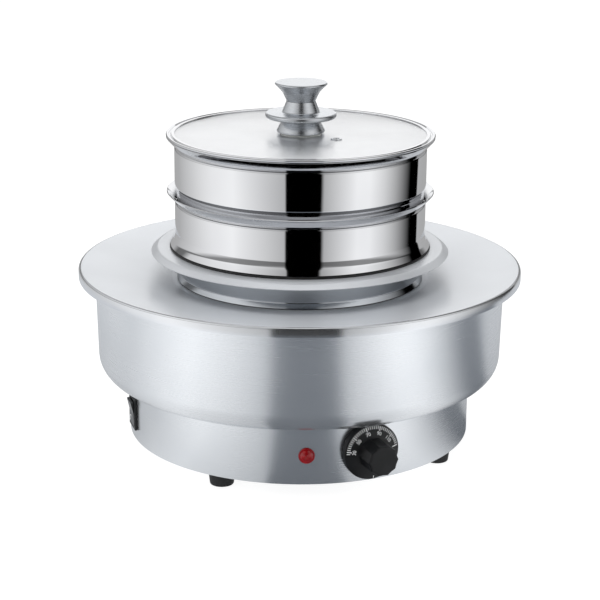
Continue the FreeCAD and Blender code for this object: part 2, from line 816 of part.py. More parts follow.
def octagon_rod(name, radius, length, spot):
    """Straight eight-sided tube along Z of its place, with flats across X and Y."""
    prism = doc.addObject("Part::Prism", name)
    prism.Polygon = 8
    bind(prism, "Circumradius", radius)
    bind(prism, "Height", length)
    bind(prism, "Placement", spot + " * placement(vector(0; 0; 0); rotationz(22.5))")
    return prism


def fused(node, parts):
    whole = doc.addObject("Part::MultiFuse", node + "_whole")
    whole.Shapes = parts
    doc.recompute()
    return keep(whole, node)


def heating_element():
    level = "(pan_floor + pan_gauge + element_lift)"
    flat = "placement(vector(0; 0; %s); rotationz(90 - element_gap) * rotationy(90))" % level
    runs = [octagon_bend("heating_loop", "tube_radius", "element_radius",
                         "360 - 2 * element_gap", flat)]
    for index, (angle, flip) in enumerate(zip(loop_ends, ("0", "180"))):
        across = "element_radius * cos(%s)" % angle
        back = "element_radius * sin(%s)" % angle
        spot = "placement(vector(%s; %s; %s - tube_bend); rotationz(%s + %s))"
        runs.append(octagon_bend("heating_bend_%d" % index, "tube_radius", "tube_bend", "90",
                                 spot % (across, back, level, angle, flip)))
        leg_x, leg_y = legs[index]
        foot = "placement(vector(%s; %s; pan_floor - leg_drop); rotationz(%s))"
        runs.append(octagon_rod("heating_leg_%d" % index, "tube_radius",
                                "%s - tube_bend - pan_floor + leg_drop" % level,
                                foot % (leg_x, leg_y, angle)))
    fused("heating_element", runs)


def pan_glands():
    """Threaded bushes through the pan floor, each with a collar inside and a nut below."""
    bores = ["tube_radius + thread_play"] * len(legs) + ["bulb_radius + thread_play"]
    glands = []
    for index, (place, bore) in enumerate(zip(floor_holes, bores)):
        body = doc.addObject("PartDesign::Body", "gland_%d" % index)
        seat = "pan_floor + pan_gauge"
        revolve(body, [
            (bore, "pan_floor - gland_length"),
            ("gland_thread", "pan_floor - gland_length"),
            ("gland_thread", seat),
            ("gland_radius", seat),
            ("gland_radius", seat + " + gland_collar"),
            (bore, seat + " + gland_collar"),
        ])
        stand_at(body, place[0], place[1], "0")
        glands.append(body)
    group = doc.addObject("Part::Compound", "gland_group")
    group.Links = glands
    doc.recompute()
    keep(group, "pan_glands")
    hexagon_nuts("gland_nuts", floor_holes, "gland_nut", "gland_thread + thread_play",
                 "gland_nut_height", "pan_floor - gland_nut_height")


def elbow(node, radius, bend, level, reach, foot, side):
    """Tube in the plane of the thermostat: a level run, a quarter bend, an upright leg."""
    plane = "placement(vector(0; 0; 0); rotationz(knob_turn - 90)) * "
    middle = "(bulb_circle - %s * %s)" % (side, bend)
    height = "(%s - %s * %s)" % (level, side, bend)
    swing = "rotationy(90 - 90 * %s) * rotationz(90)" % side
    turn = octagon_bend(node + "_bend", radius, bend, "90",
                        plane + "placement(vector(%s; 0; %s); %s)" % (middle, height, swing))
    start = "%s - (%s) * (1 + %s) / 2" % (middle, reach, side)
    run = octagon_rod(node + "_run", radius, reach,
                      plane + "placement(vector(%s; 0; %s); rotationy(90))" % (start, level))
    low = "(%s + %s - %s * (%s - %s)) / 2" % (height, foot, side, height, foot)
    leg = octagon_rod(node + "_leg", radius, "%s * (%s - %s)" % (side, height, foot),
                      plane + "placement(vector(bulb_circle; 0; %s); rotationz(0))" % low)
    fused(node, [run, turn, leg])


def sensor():
    elbow("sensor_bulb", "bulb_radius", "bulb_bend", "(pan_floor + pan_gauge + bulb_lift)",
          "bulb_length", "bulb_foot", "1")
    elbow("capillary_tube", "capillary_radius", "capillary_bend", "knob_height",
          "thermostat_face - thermostat_depth - bulb_circle - capillary_bend",
          "bulb_foot", "-1")


def level_nut(node, radius, thread, thickness, start, place):
    """Hexagon nut on a level thread, from a distance out from the machine's middle."""
    nut = new_body(node)
    sketch = new_sketch(nut, "YZ_Plane", start)
    draw(sketch, even_corners(6, radius))
    circle(sketch, "0", "0", thread + " + thread_play")
    pad(nut, sketch, thickness)
    face_out(nut, *place)


def thermostat():
    body = new_body("thermostat_body")
    side = new_sketch(body, "YZ_Plane", "thermostat_face - thermostat_depth")
    draw(side, [
        ("-thermostat_half", "-thermostat_half"),
        ("thermostat_half", "-thermostat_half"),
        ("thermostat_half", "thermostat_half"),
        ("-thermostat_half", "thermostat_half"),
    ])
    pad(body, side, "thermostat_depth")
    bushing = new_sketch(body, "YZ_Plane", "thermostat_face")
    circle(bushing, "0", "0", "bushing_radius")
    pad(body, bushing, "base_radius + bushing_length - thermostat_face")
    bore = new_sketch(body, "YZ_Plane", "base_radius + bushing_length")
    circle(bore, "0", "0", "shaft_radius + thread_play")
    drill(body, bore, "thermostat_depth")
    face_out(body, "knob_turn", "knob_height")
    level_nut("thermostat_nut", "bushing_nut_radius", "bushing_radius", "bushing_nut",
              "base_radius + thread_play", ("knob_turn", "knob_height"))


def thermostat_knob():
    body = new_body("thermostat_knob")
    bore = "shaft_radius + thread_play"
    pocket = "dial_face - dial_wall"
    revolve(body, [
        (pocket, bore),
        (pocket, "dial_radius - dial_wall"),
        ("dial_back", "dial_radius - dial_wall"),
        ("dial_back", "dial_radius"),
        ("dial_face", "dial_radius"),
        ("grip_base", "grip_radius"),
        ("grip_base", "0"),
        ("grip_base - seat_gap", "0"),
        ("grip_base - seat_gap", bore),
    ], "H_Axis")
    grip = new_sketch(body, "YZ_Plane", "grip_base")
    ridges = int(read("flat_count"))
    corners = []
    for ridge, hollow in zip(even_corners(2 * ridges, "grip_radius")[::2],
                             even_corners(2 * ridges, "grip_radius - flat_inset")[1::2]):
        corners += [ridge, hollow]
    draw(grip, corners)
    pad(body, grip, "grip_length")
    face_out(body, "knob_turn", "knob_height")
    shaft = new_body("thermostat_shaft")
    revolve(shaft, [
        ("thermostat_face - thermostat_depth / 3", "0"),
        ("grip_base - 2 * seat_gap", "0"),
        ("grip_base - 2 * seat_gap", "shaft_radius"),
        ("thermostat_face - thermostat_depth / 3", "shaft_radius"),
    ], "H_Axis")
    face_out(shaft, "knob_turn", "knob_height")


def pilot_lamp():
    back = "base_radius + seat_gap"
    lens = new_body("pilot_lens")
    revolve(lens, [
        (back, "0"),
        (back + " + lens_edge + lens_dome", "0"),
        (back + " + lens_edge + lens_dome", "lens_radius * 0.5"),
        (back + " + lens_edge", "lens_radius"),
        (back, "lens_radius"),
    ], "H_Axis")
    face_out(lens, "lamp_turn", "lamp_height")
    lamp = new_body("pilot_lamp_body")
    revolve(lamp, [
        (back + " - lamp_length", "0"),
        (back, "0"),
        (back, "lamp_radius"),
        (back + " - lamp_length", "lamp_radius"),
    ], "H_Axis")
    face_out(lamp, "lamp_turn", "lamp_height")
    front = "sqrt((base_radius - base_gauge)^2 - lamp_nut_radius^2) - lamp_nut - thread_play"
    level_nut("pilot_lamp_nut", "lamp_nut_radius", "lamp_radius", "lamp_nut", front,
              ("lamp_turn", "lamp_height"))


def box_outline(width, height):
    return [
        ("-(%s) / 2" % width, "-(%s) / 2" % height),
        ("(%s) / 2" % width, "-(%s) / 2" % height),
        ("(%s) / 2" % width, "(%s) / 2" % height),
        ("-(%s) / 2" % width, "(%s) / 2" % height),
    ]


def rocker_switch():
    pivot = "base_radius - pivot_inset"
    window_width = "switch_width - 2 * switch_wall"
    window_height = "switch_body - 2 * switch_wall"
    housing = new_body("switch_housing")
    bezel = new_sketch(housing, "YZ_Plane", "base_radius")
    draw(bezel, box_outline("bezel_width", "bezel_height"))
    pad(housing, bezel, "bezel_gauge")
    block = new_sketch(housing, "YZ_Plane", "base_radius - switch_depth")
    draw(block, box_outline("switch_width", "switch_body"))
    pad(housing, block, "switch_depth")
    well = new_sketch(housing, "YZ_Plane", "base_radius + bezel_gauge")
    draw(well, box_outline(window_width, window_height))
    drill(housing, well, "bezel_gauge + pivot_inset + rocker_back + 4 * rocker_play")
    bearing = new_sketch(housing, "XZ_Plane")
    circle(bearing, pivot, "0", "pivot_radius + thread_play")
    drill(housing, bearing)
    face_out(housing, "switch_turn", "switch_height")

    rocker = new_body("switch_rocker")
    half = "(switch_body / 2 - switch_wall - rocker_end_play)"
    side = new_sketch(rocker, "XZ_Plane")
    draw(side, [
        ("-rocker_back", "-%s / 2" % half),
        ("0", "-" + half),
        ("rocker_stand", "-" + half),
        ("rocker_stand - rocker_dip", "0"),
        ("rocker_stand", half),
        ("0", half),
        ("-rocker_back", "%s / 2" % half),
    ])
    wide = "switch_width - 2 * switch_wall - 2 * rocker_play"
    pad(rocker, side, wide, both_ways=True)
    pin = new_sketch(rocker, "XZ_Plane")
    circle(pin, "0", "0", "pivot_radius")
    pad(rocker, pin, wide + " + 2 * pivot_length", both_ways=True)
    frame = "placement(vector(0; 0; switch_height); rotationz(switch_turn - 90))"
    tilt = "placement(vector(%s; 0; 0); rotationy(rocker_tilt))" % pivot
    bind(rocker, "Placement", frame + " * " + tilt)

    blades = new_body("switch_blades")
    for up in ("-switch_body / 4", "switch_body / 4"):
        foot = new_sketch(blades, "YZ_Plane", "base_radius - switch_depth - blade_length")
        draw(foot, [
            ("-blade_width / 2", up + " - blade_gauge / 2"),
            ("blade_width / 2", up + " - blade_gauge / 2"),
            ("blade_width / 2", up + " + blade_gauge / 2"),
            ("-blade_width / 2", up + " + blade_gauge / 2"),
        ])
        pad(blades, foot, "blade_length")
    face_out(blades, "switch_turn", "switch_height")


def cord_inlet():
    body = new_body("cord_gland")
    back = "base_radius + seat_gap"
    revolve(body, [
        (back + " - cord_gland_length", "cord_gland_bore"),
        (back + " + cord_gland_head", "cord_gland_bore"),
        (back + " + cord_gland_head", "cord_gland_thread"),
        (back, "cord_gland_radius"),
        (back, "cord_gland_thread"),
        (back + " - cord_gland_length", "cord_gland_thread"),
    ], "H_Axis")
    face_out(body, "180", "cord_gland_height")
    front = "sqrt((base_radius - base_gauge)^2 - cord_gland_radius^2) - nut_height - thread_play"
    level_nut("cord_gland_nut", "cord_gland_radius", "cord_gland_thread", "nut_height", front,
              ("180", "cord_gland_height"))


def mains_terminals():
    block = new_body("terminal_block")
    side = new_sketch(block, "XY_Plane", "plate_top")
    draw(side, box_outline("block_width", "block_depth"))
    pad(block, side, "block_height")
    for step in ("-1", "0", "1"):
        pole = new_sketch(block, "XZ_Plane")
        place = "%s * block_width / 3" % step, "plate_top + block_height / 2"
        draw(pole, even_corners(6, "pole_radius", *place))
        drill(block, pole)
    stand_at(block, "0", "block_place", "0")
    stud = rod("earth_stud", "stud_radius", "earth_length",
               "placement(vector(earth_place; block_place; plate_top); rotationz(0))")
    keep(stud, "earth_stud")


feet()
bottom_plate()
base_shell()
tie_studs()
hexagon_nuts("stud_nuts", ring_places("foot_circle", "foot_count"), "stud_nut_radius",
             "stud_radius + thread_play", "nut_height", "foot_recess - nut_height")
pan()
heating_element()
pan_glands()
sensor()
thermostat()
thermostat_knob()
pilot_lamp()
rocker_switch()
cord_inlet()
mains_terminals()
cover_plate()
adapter_ring()
ring("basket_seal", "collar_high_radius - seal_overhang", "seal_radius", "adapter_top", "seal_top")
lower_basket()
upper_basket()
lid_rim()
lid_glass()
lid_eyelet()
lid_knob()

doc.recompute()
for item in doc.Objects:
    if "Invalid" in item.State or "Error" in item.State:
        raise RuntimeError(item.Label + " failed: " + ", ".join(item.State))
for piece in pieces:
    if piece.Shape.isNull() or not piece.Shape.isValid():
        raise RuntimeError(piece.Label + " has no valid shape")

os.makedirs("parts", exist_ok=True)
for piece in pieces:
    piece.Shape.exportStep("parts/" + piece.Label + ".step")
    print("%-22s %d solid(s) %10.0f mm3" % (piece.Label, len(piece.Shape.Solids), piece.Shape.Volume))
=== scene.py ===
import math
import bmesh
import bpy
from mathutils import Matrix, Quaternion, Vector


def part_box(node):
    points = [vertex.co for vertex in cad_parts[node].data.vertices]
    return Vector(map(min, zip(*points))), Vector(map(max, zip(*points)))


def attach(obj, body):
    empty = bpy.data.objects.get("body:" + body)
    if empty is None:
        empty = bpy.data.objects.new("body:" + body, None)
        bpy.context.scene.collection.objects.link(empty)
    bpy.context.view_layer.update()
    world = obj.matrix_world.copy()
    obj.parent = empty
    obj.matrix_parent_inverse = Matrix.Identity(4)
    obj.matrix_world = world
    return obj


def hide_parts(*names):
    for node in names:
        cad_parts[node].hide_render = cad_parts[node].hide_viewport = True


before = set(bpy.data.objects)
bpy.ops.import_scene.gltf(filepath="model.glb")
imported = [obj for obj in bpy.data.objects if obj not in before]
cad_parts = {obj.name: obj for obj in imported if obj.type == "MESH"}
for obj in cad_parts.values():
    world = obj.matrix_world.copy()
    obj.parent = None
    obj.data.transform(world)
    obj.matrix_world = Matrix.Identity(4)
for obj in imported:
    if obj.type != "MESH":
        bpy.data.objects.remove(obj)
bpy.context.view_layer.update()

# Water pan.
# A deep drawn stainless bowl with a flat rim turned out, standing on the base and spot
# welded to it. Its outside is finished with a fine abrasive belt run round it.

MM = 0.001


def linear(code):
    """Linear colour of an sRGB hex value."""
    parts = [int(code[i:i + 2], 16) / 255 for i in (1, 3, 5)]
    return [p / 12.92 if p <= 0.04045 else ((p + 0.055) / 1.055) ** 2.4 for p in parts] + [1]


def add(tree, kind, sockets=None, stops=(), **settings):
    """Adds a node, sets its properties, and sets or links its sockets.

    Stops are the positions and greys of a colour ramp, in order.
    """
    node = tree.nodes.new(kind)
    for name, value in settings.items():
        setattr(node, name, value)
    for name, value in (sockets or {}).items():
        if isinstance(value, bpy.types.NodeSocket):
            tree.links.new(value, node.inputs[name])
        else:
            node.inputs[name].default_value = value
    for index, (position, grey) in enumerate(stops[:1] + stops[-1:] + stops[1:-1]):
        ramp = node.color_ramp.elements
        stop = ramp[index] if index < 2 else ramp.new(position)
        stop.position = position
        stop.color = (grey, grey, grey, 1)
    return node


def every(size):
    """Scale of a texture whose marks are about a size in mm apart."""
    return 1 / (size * MM)


def blank(name):
    """A material with an empty node tree and its output."""
    material = bpy.data.materials.new(name)
    material.use_nodes = True
    tree = material.node_tree
    tree.nodes.clear()
    return material, tree, add(tree, "ShaderNodeOutputMaterial")


def corners_of(node):
    """The lowest and highest corners of a CAD node, in mm."""
    return [[v / MM for v in corner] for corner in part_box(node)]


def eased(corners, closed=False):
    """Section points in metres from corners (radius, height, rounding) in mm."""
    points = []
    count = len(corners)
    for index, corner in enumerate(corners):
        here = Vector(corner[:2]) * MM
        if len(corner) < 3 or not (closed or 0 < index < count - 1):
            points.append(here)
            continue
        radius = corner[2] * MM
        back = Vector(corners[index - 1][:2]) * MM - here
        ahead = Vector(corners[(index + 1) % count][:2]) * MM - here
        half = back.angle(ahead) / 2
        # Less than half of each side is taken up, so that two roundings never meet
        reach = min(radius / math.tan(half), 0.49 * back.length, 0.49 * ahead.length)
        radius = reach * math.tan(half)
        back.normalize()
        ahead.normalize()
        centre = here + (back + ahead).normalized() * (radius / math.sin(half))
        first = here + back * reach - centre
        sweep = first.angle_signed(here + ahead * reach - centre)
        steps = max(2, round(abs(sweep) / math.radians(10)))
        for step in range(steps + 1):
            turn = Matrix.Rotation(-sweep * step / steps, 2)
            points.append(centre + turn @ first)
    return points


# Least cosine at a corner, where a sheet's inner side would otherwise run far out
SHARPEST = 0.3


def sheet(corners, gauge):
    """Closed section of sheet metal whose gauge in mm is laid to the left of its path."""
    path = eased(corners)
    sides = [(b - a).orthogonal().normalized() for a, b in zip(path, path[1:])]
    inner = []
    for index, point in enumerate(path):
        before = sides[max(index - 1, 0)]
        after = sides[min(index, len(sides) - 1)]
        middle = (before + after).normalized()
        inner.append(point + middle * gauge * MM / max(middle.dot(after), SHARPEST))
    return path + inner[::-1]


def ring_of(radius, height, steps, centre=(0, 0)):
    """Points round a circle, in metres."""
    turns = [2 * math.pi * step / steps for step in range(steps)]
    return [(centre[0] + radius * math.cos(turn), centre[1] + radius * math.sin(turn), height)
            for turn in turns]


def skinned(rings, closed=False, capped=False):
    """Points and faces of a skin over rings of points; a ring of one point is a tip."""
    verts = [point for ring in rings for point in ring]
    steps = max(len(ring) for ring in rings)
    loops = []
    start = 0
    for ring in rings:
        loops.append([start + step % len(ring) for step in range(steps)])
        start += len(ring)
    faces = []
    for low, high in zip(loops, loops[1:] + (loops[:1] if closed else [])):
        for step in range(steps):
            following = (step + 1) % steps
            face = [low[step], low[following], high[following], high[step]]
            face = [v for i, v in enumerate(face) if v not in face[:i]]
            if len(face) > 2:
                faces.append(face)
    if capped:
        faces += [loop for loop in (loops[-1], loops[0][::-1]) if loop[0] != loop[1]]
    return verts, faces


def turned(name, section, steps=240, place=None):
    """A solid of revolution about Z, or about the Z axis of a place."""
    rings = [ring_of(radius, height, steps) if abs(radius) > 1e-7 else [(0, 0, height)]
             for radius, height in section]
    return piece(name, *skinned(rings, closed=True), place)


def piece(name, verts, faces, place=None, soft=35):
    """A mesh object with smooth faces, and crisp edges where they bend more than is soft."""
    mesh = bpy.data.meshes.new(name)
    mesh.from_pydata(verts, [], faces)
    if place:
        mesh.transform(place)
    work = bmesh.new()
    work.from_mesh(mesh)
    bmesh.ops.recalc_face_normals(work, faces=work.faces)
    work.to_mesh(mesh)
    work.free()
    mesh.shade_smooth()
    mesh.set_sharp_from_angle(angle=math.radians(soft))
    made = bpy.data.objects.new(name, mesh)
    bpy.context.collection.objects.link(made)
    return made


def dress(made, material, body, *nodes):
    """Gives a piece its material and its body, and the CAD nodes that it stands for."""
    made.data.materials.clear()
    made.data.materials.append(material)
    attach(made, body)
    if nodes:
        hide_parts(*nodes)
    return made


# Length of a finishing line, and how far the painted shade reaches from a joint or crease, in mm
LINE_LENGTH, SHADE_REACH = 111, 7


def worked_steel(name, bright, dull, roughness, line, relief, dent, metal=1.0, uneven=0.22):
    """Stainless steel with finishing lines round the axis, and painted shade in its seams and
    creases.

    Lines are a line in mm apart and a relief in mm deep; broad dents are a dent in mm deep.
    Uneven is the share by which the roughness differs from place to place.
    """
    material, tree, output = blank(name)
    spot = add(tree, "ShaderNodeTexCoord").outputs["Object"]
    flat = add(tree, "ShaderNodeVectorMath", {0: spot, 1: (1, 1, 0)}, operation="MULTIPLY")
    reach = add(tree, "ShaderNodeVectorMath", {0: flat.outputs[0]}, operation="LENGTH")
    parts = add(tree, "ShaderNodeSeparateXYZ", {0: spot})
    along = add(tree, "ShaderNodeMath", {0: reach.outputs["Value"], 1: parts.outputs[2]},
                operation="ADD")
    across = add(tree, "ShaderNodeMath", {0: along.outputs[0], 1: every(line)},
                 operation="MULTIPLY")
    long_x = add(tree, "ShaderNodeMath", {0: parts.outputs[0], 1: every(LINE_LENGTH)},
                 operation="MULTIPLY")
    long_y = add(tree, "ShaderNodeMath", {0: parts.outputs[1], 1: every(LINE_LENGTH)},
                 operation="MULTIPLY")
    drawn = add(tree, "ShaderNodeCombineXYZ", {0: long_x.outputs[0], 1: long_y.outputs[0],
                                               2: across.outputs[0]})
    grain = add(tree, "ShaderNodeTexNoise", {"Vector": drawn.outputs[0], "Scale": 1.0,
                                             "Detail": 3.0, "Roughness": 0.7})
    smear = add(tree, "ShaderNodeTexNoise", {"Vector": spot, "Scale": every(91),
                                             "Detail": 3.0})
    tone = add(tree, "ShaderNodeMapRange", {"Value": smear.outputs["Fac"], "From Min": 0.3,
                                            "From Max": 0.7})
    colour = add(tree, "ShaderNodeMix", {"Factor": tone.outputs[0], "A": linear(dull),
                                         "B": linear(bright)}, data_type="RGBA")
    # Painted shade: where other surfaces stand close, in seams, creases and under rims, the colour is
    # darkened towards a dark grey
    crease_shade = add(tree, "ShaderNodeAmbientOcclusion", {"Distance": SHADE_REACH * MM}, samples=6)
    shade_share = add(tree, "ShaderNodeMapRange", {"Value": crease_shade.outputs["AO"], "From Min": 0.1,
                                             "From Max": 0.6, "To Min": 1.0, "To Max": 0.0})
    colour = add(tree, "ShaderNodeMix", {"Factor": shade_share.outputs[0],
                                         "A": colour.outputs["Result"],
                                         "B": linear("#3A3D40")}, data_type="RGBA")
    blend = add(tree, "ShaderNodeMath", {0: grain.outputs["Fac"], 1: smear.outputs["Fac"]},
                operation="ADD")
    gloss = add(tree, "ShaderNodeMapRange", {"Value": blend.outputs[0], "From Min": 0.6,
                                             "From Max": 1.4,
                                             "To Min": roughness * (1 - uneven),
                                             "To Max": roughness * (1 + uneven)})
    wave = add(tree, "ShaderNodeBump", {"Strength": 1.0, "Distance": dent * MM,
                                        "Height": smear.outputs["Fac"]})
    lines = add(tree, "ShaderNodeBump", {"Strength": 1.0, "Distance": relief * MM,
                                         "Height": grain.outputs["Fac"],
                                         "Normal": wave.outputs[0]})
    shader = add(tree, "ShaderNodeBsdfPrincipled", {
        "Base Color": colour.outputs["Result"], "Metallic": metal,
        "Roughness": gloss.outputs[0], "Normal": lines.outputs[0]})
    tree.links.new(shader.outputs[0], output.inputs[0])
    return material


# Satin finished 304 stainless steel, belt ground round the axis with about 240 grit.
# The lines spread a highlight into a soft band. They are under 0.1 mm apart in truth, and
# are drawn 0.9 mm apart so that they show.
satin_stainless = worked_steel("satin_stainless_belt_ground", "#EDEFF1", "#E4E7EA",
                               0.26, 0.9, 0.0018, 0.03, metal=0.93, uneven=0.12)

pan_low, pan_high = corners_of("pan")
PAN_GAUGE, PAN_RIM, PAN_CORNER, PAN_DRAFT, RIM_BEND = 1.2, 12.5, 21, 2.4, 1.2
mouth = pan_high[0] - PAN_RIM
pan_top = pan_high[2] - PAN_GAUGE
pan_section = sheet([
    (0, pan_low[2]),
    (mouth - PAN_DRAFT, pan_low[2], PAN_CORNER),
    (mouth, pan_top, RIM_BEND),
    (pan_high[0], pan_top),
], PAN_GAUGE)
pan = turned("water_pan", pan_section)
dress(pan, satin_stainless, "base", "pan")

# Base shell and bottom plate.
# A rolled and welded stainless band under the pan, with its lower edge turned in, closed
# from below by a vented disc that the foot studs hold.


def coat(material, *nodes):
    """Gives a finish to CAD nodes that stay as they are."""
    for node in nodes:
        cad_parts[node].material_slots[0].material = material


coat(satin_stainless, "base_shell", "bottom_plate")

# Feet.
# Four moulded rubber feet, each with a recess below for the nut that clamps it under the
# bottom plate on its stud.


def clouded(name, colours, cloud_mm, detail, gloss, turn=(0, 1), skin_mm=None, skin_detail=2,
            relief_mm=0, skin_kind="ShaderNodeTexNoise", rough_skin=False, shading=None):
    """A finish whose colour drifts from one to another in clouds, over a finer skin.

    Turn is the two levels of the clouds between which the colour changes. Gloss is the
    roughness at both ends of the clouds, or of the skin where that is what dulls it.
    """
    material, tree, output = blank(name)
    spot = add(tree, "ShaderNodeTexCoord").outputs["Object"]
    cloud = add(tree, "ShaderNodeTexNoise", {"Vector": spot, "Scale": every(cloud_mm),
                                             "Detail": detail})
    tone = add(tree, "ShaderNodeMapRange", {"Value": cloud.outputs[0], "From Min": turn[0],
                                            "From Max": turn[1]})
    colour = add(tree, "ShaderNodeMix", {"Factor": tone.outputs[0], "A": linear(colours[0]),
                                         "B": linear(colours[1])}, data_type="RGBA")
    shader = add(tree, "ShaderNodeBsdfPrincipled", {"Base Color": colour.outputs["Result"],
                                                    **(shading or {})})
    skin = cloud
    if skin_mm:
        skin = add(tree, skin_kind, {"Vector": spot, "Scale": every(skin_mm),
                                     "Detail": skin_detail})
        relief = add(tree, "ShaderNodeBump", {"Strength": 1.0, "Distance": relief_mm * MM,
                                              "Height": skin.outputs[0]})
        tree.links.new(relief.outputs[0], shader.inputs["Normal"])
    level = skin.outputs[0] if rough_skin else cloud.outputs[0]
    dull = add(tree, "ShaderNodeMapRange", {"Value": level, "To Min": gloss[0],
                                            "To Max": gloss[1]})
    tree.links.new(dull.outputs[0], shader.inputs["Roughness"])
    tree.links.new(shader.outputs[0], output.inputs[0])
    return material


def moulded_rubber(name, colour, worn, roughness):
    """Rubber with a fine moulded skin and a little bloom, as silicone or EPDM has."""
    return clouded(name, (colour, worn), cloud_mm=11, detail=4, turn=(0.42, 0.75),
                   gloss=(roughness - 0.1, roughness + 0.1), skin_mm=0.45, relief_mm=0.025,
                   shading={"IOR": 1.45})


# Black EPDM rubber, compression moulded: matt, with a faint grey bloom. Its skin is finer
# than 0.1 mm and is drawn at 0.45 mm.
foot_rubber = moulded_rubber("rubber_moulded_black", "#151516", "#29292A", 0.6)
FOOT_CIRCLE = 150
FOOT_BASE, FOOT_RADIUS, FOOT_HEIGHT = 11, 12.5, 12
STUD_HOLE, RECESS, RECESS_DEPTH = 2.7, 6, 6.5
foot_section = eased([
    (RECESS, 0), (FOOT_BASE, 0, 1.5), (FOOT_RADIUS, FOOT_HEIGHT, 0.6), (STUD_HOLE, FOOT_HEIGHT),
    (STUD_HOLE, RECESS_DEPTH), (RECESS, RECESS_DEPTH)], closed=True)
for quarter in range(4):
    angle = math.radians(45 + 90 * quarter)
    place = Matrix.Translation((FOOT_CIRCLE * MM * math.cos(angle),
                                FOOT_CIRCLE * MM * math.sin(angle), 0))
    foot = turned("rubber_foot_%d" % (quarter + 1), foot_section, 64, place)
    dress(foot, foot_rubber, "base")
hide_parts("feet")

# Studs, nuts and the thermostat's fixings.
# Zinc plated steel studs, welded under the pan, pass through the bottom plate and a foot
# to a nut. The thermostat, its shaft, the lamp's nut and the knob's screw are plated too.

# Zinc plating: a cool grey metal. Its crystals are far finer than the 1.1 mm that they are
# drawn at to show.
plated_steel = clouded("steel_zinc_plated", ("#A9ADB0", "#C9CBCB"), cloud_mm=17, detail=3,
                       gloss=(0.26, 0.42), skin_mm=1.1, skin_detail=0, relief_mm=0.008,
                       skin_kind="ShaderNodeTexVoronoi", rough_skin=True,
                       shading={"Metallic": 1.0})
coat(plated_steel, "tie_studs", "stud_nuts", "thermostat_nut", "thermostat_body",
     "pilot_lamp_nut", "lid_knob_screw", "thermostat_shaft")

# Heating element, glands and sensor.
# A sheathed tube loop low in the pan, whose legs pass through brass glands; beside it a
# copper bulb and capillary that lead to the thermostat.


def drawn_metal(name, bright, dark, roughness):
    """Tube or bar metal with a little tarnish, and die marks drawn 1.4 mm apart to show."""
    return clouded(name, (dark, bright), cloud_mm=29, detail=5,
                   gloss=(roughness + 0.12, roughness - 0.06), skin_mm=1.4, relief_mm=0.009,
                   shading={"Metallic": 1.0})


# The element's sheath is annealed stainless tube, straw coloured where it has been hot.
sheath_steel = drawn_metal("stainless_tube_annealed", "#B9B4AA", "#8C8274", 0.34)
# Free cutting brass as turned, with a warm even gloss that dulls in patches.
turned_brass = drawn_metal("brass_turned", "#D8B671", "#B08D4C", 0.24)
# Drawn copper, bright with brown patches where it was bent by hand.
drawn_copper = drawn_metal("copper_drawn", "#CE8A68", "#98583C", 0.27)
coat(sheath_steel, "heating_element")
coat(turned_brass, "pan_glands", "gland_nuts", "earth_stud", "switch_blades")
coat(drawn_copper, "sensor_bulb", "capillary_tube")

# Terminal block and lamp body.
# A glazed ceramic block for the mains wires, screwed down inside the base, and the nylon
# body of the pilot lamp, moulded in one piece and held by its nut.


def pale_insulator(name, colour, shade, roughness, relief_mm):
    """White or cream insulating material, softly clouded, with an orange peel of 1.5 mm."""
    return clouded(name, (colour, shade), cloud_mm=8.3, detail=4,
                   gloss=(roughness - 0.05, roughness + 0.08), skin_mm=1.5, skin_detail=1,
                   relief_mm=relief_mm, shading={"IOR": 1.5})


# Steatite with a cream glaze: glossy, with a soft mottle.
glazed_ceramic = pale_insulator("ceramic_glazed_cream", "#E9E2CF", "#D9CFB6", 0.18, 0.02)
# Injection moulded nylon: milky, half gloss.
moulded_nylon = pale_insulator("nylon_moulded_white", "#E6E5DF", "#D6D5CE", 0.36, 0.01)
coat(glazed_ceramic, "terminal_block")
coat(moulded_nylon, "pilot_lamp_body")

# Thermostat dial.
# A one piece phenolic knob: a skirt with printed ticks and numbers, and a wide grip with
# hollowed flats. It turns on the shaft of the capillary thermostat behind the shell.


def moulded_plastic(name, colour, worn, roughness, grain_mm, relief_mm):
    """Dark moulded plastic with a spark eroded skin and lightly rubbed high spots."""
    return clouded(name, (colour, worn), cloud_mm=18, detail=5, turn=(0.45, 0.8),
                   gloss=(roughness - 0.08, roughness + 0.08), skin_mm=grain_mm, skin_detail=3,
                   relief_mm=relief_mm, rough_skin=True,
                   shading={"IOR": 1.55, "Specular IOR Level": 0.3})


# Black phenolic, compression moulded: deep black, half matt. Its 0.2 mm skin is drawn at
# 0.6 mm.
black_phenolic = moulded_plastic("phenolic_moulded_black", "#0E0F10", "#1D1E20",
                                 0.42, 0.6, 0.012)

DIAL_TURN, DIAL_HEIGHT = math.radians(5.6), 43
outward = Vector((math.sin(DIAL_TURN), -math.cos(DIAL_TURN), 0))
rightward = Vector((math.cos(DIAL_TURN), math.sin(DIAL_TURN), 0))
upward = Vector((0, 0, 1))


def facing(turn, height):
    """Place on the shell's axis at a height, with Z pointing out at an angle from the front."""
    out = Vector((math.sin(turn), -math.cos(turn), 0))
    right = Vector((math.cos(turn), math.sin(turn), 0))
    spot = Matrix((right, upward, out)).transposed().to_4x4()
    return Matrix.Translation((0, 0, height)) @ spot


dial_place = facing(DIAL_TURN, DIAL_HEIGHT * MM)
DIAL_RADIUS, GRIP_RADIUS, BORE, SKIRT_WALL = 26.6, 15.0, 3.05, 2.3
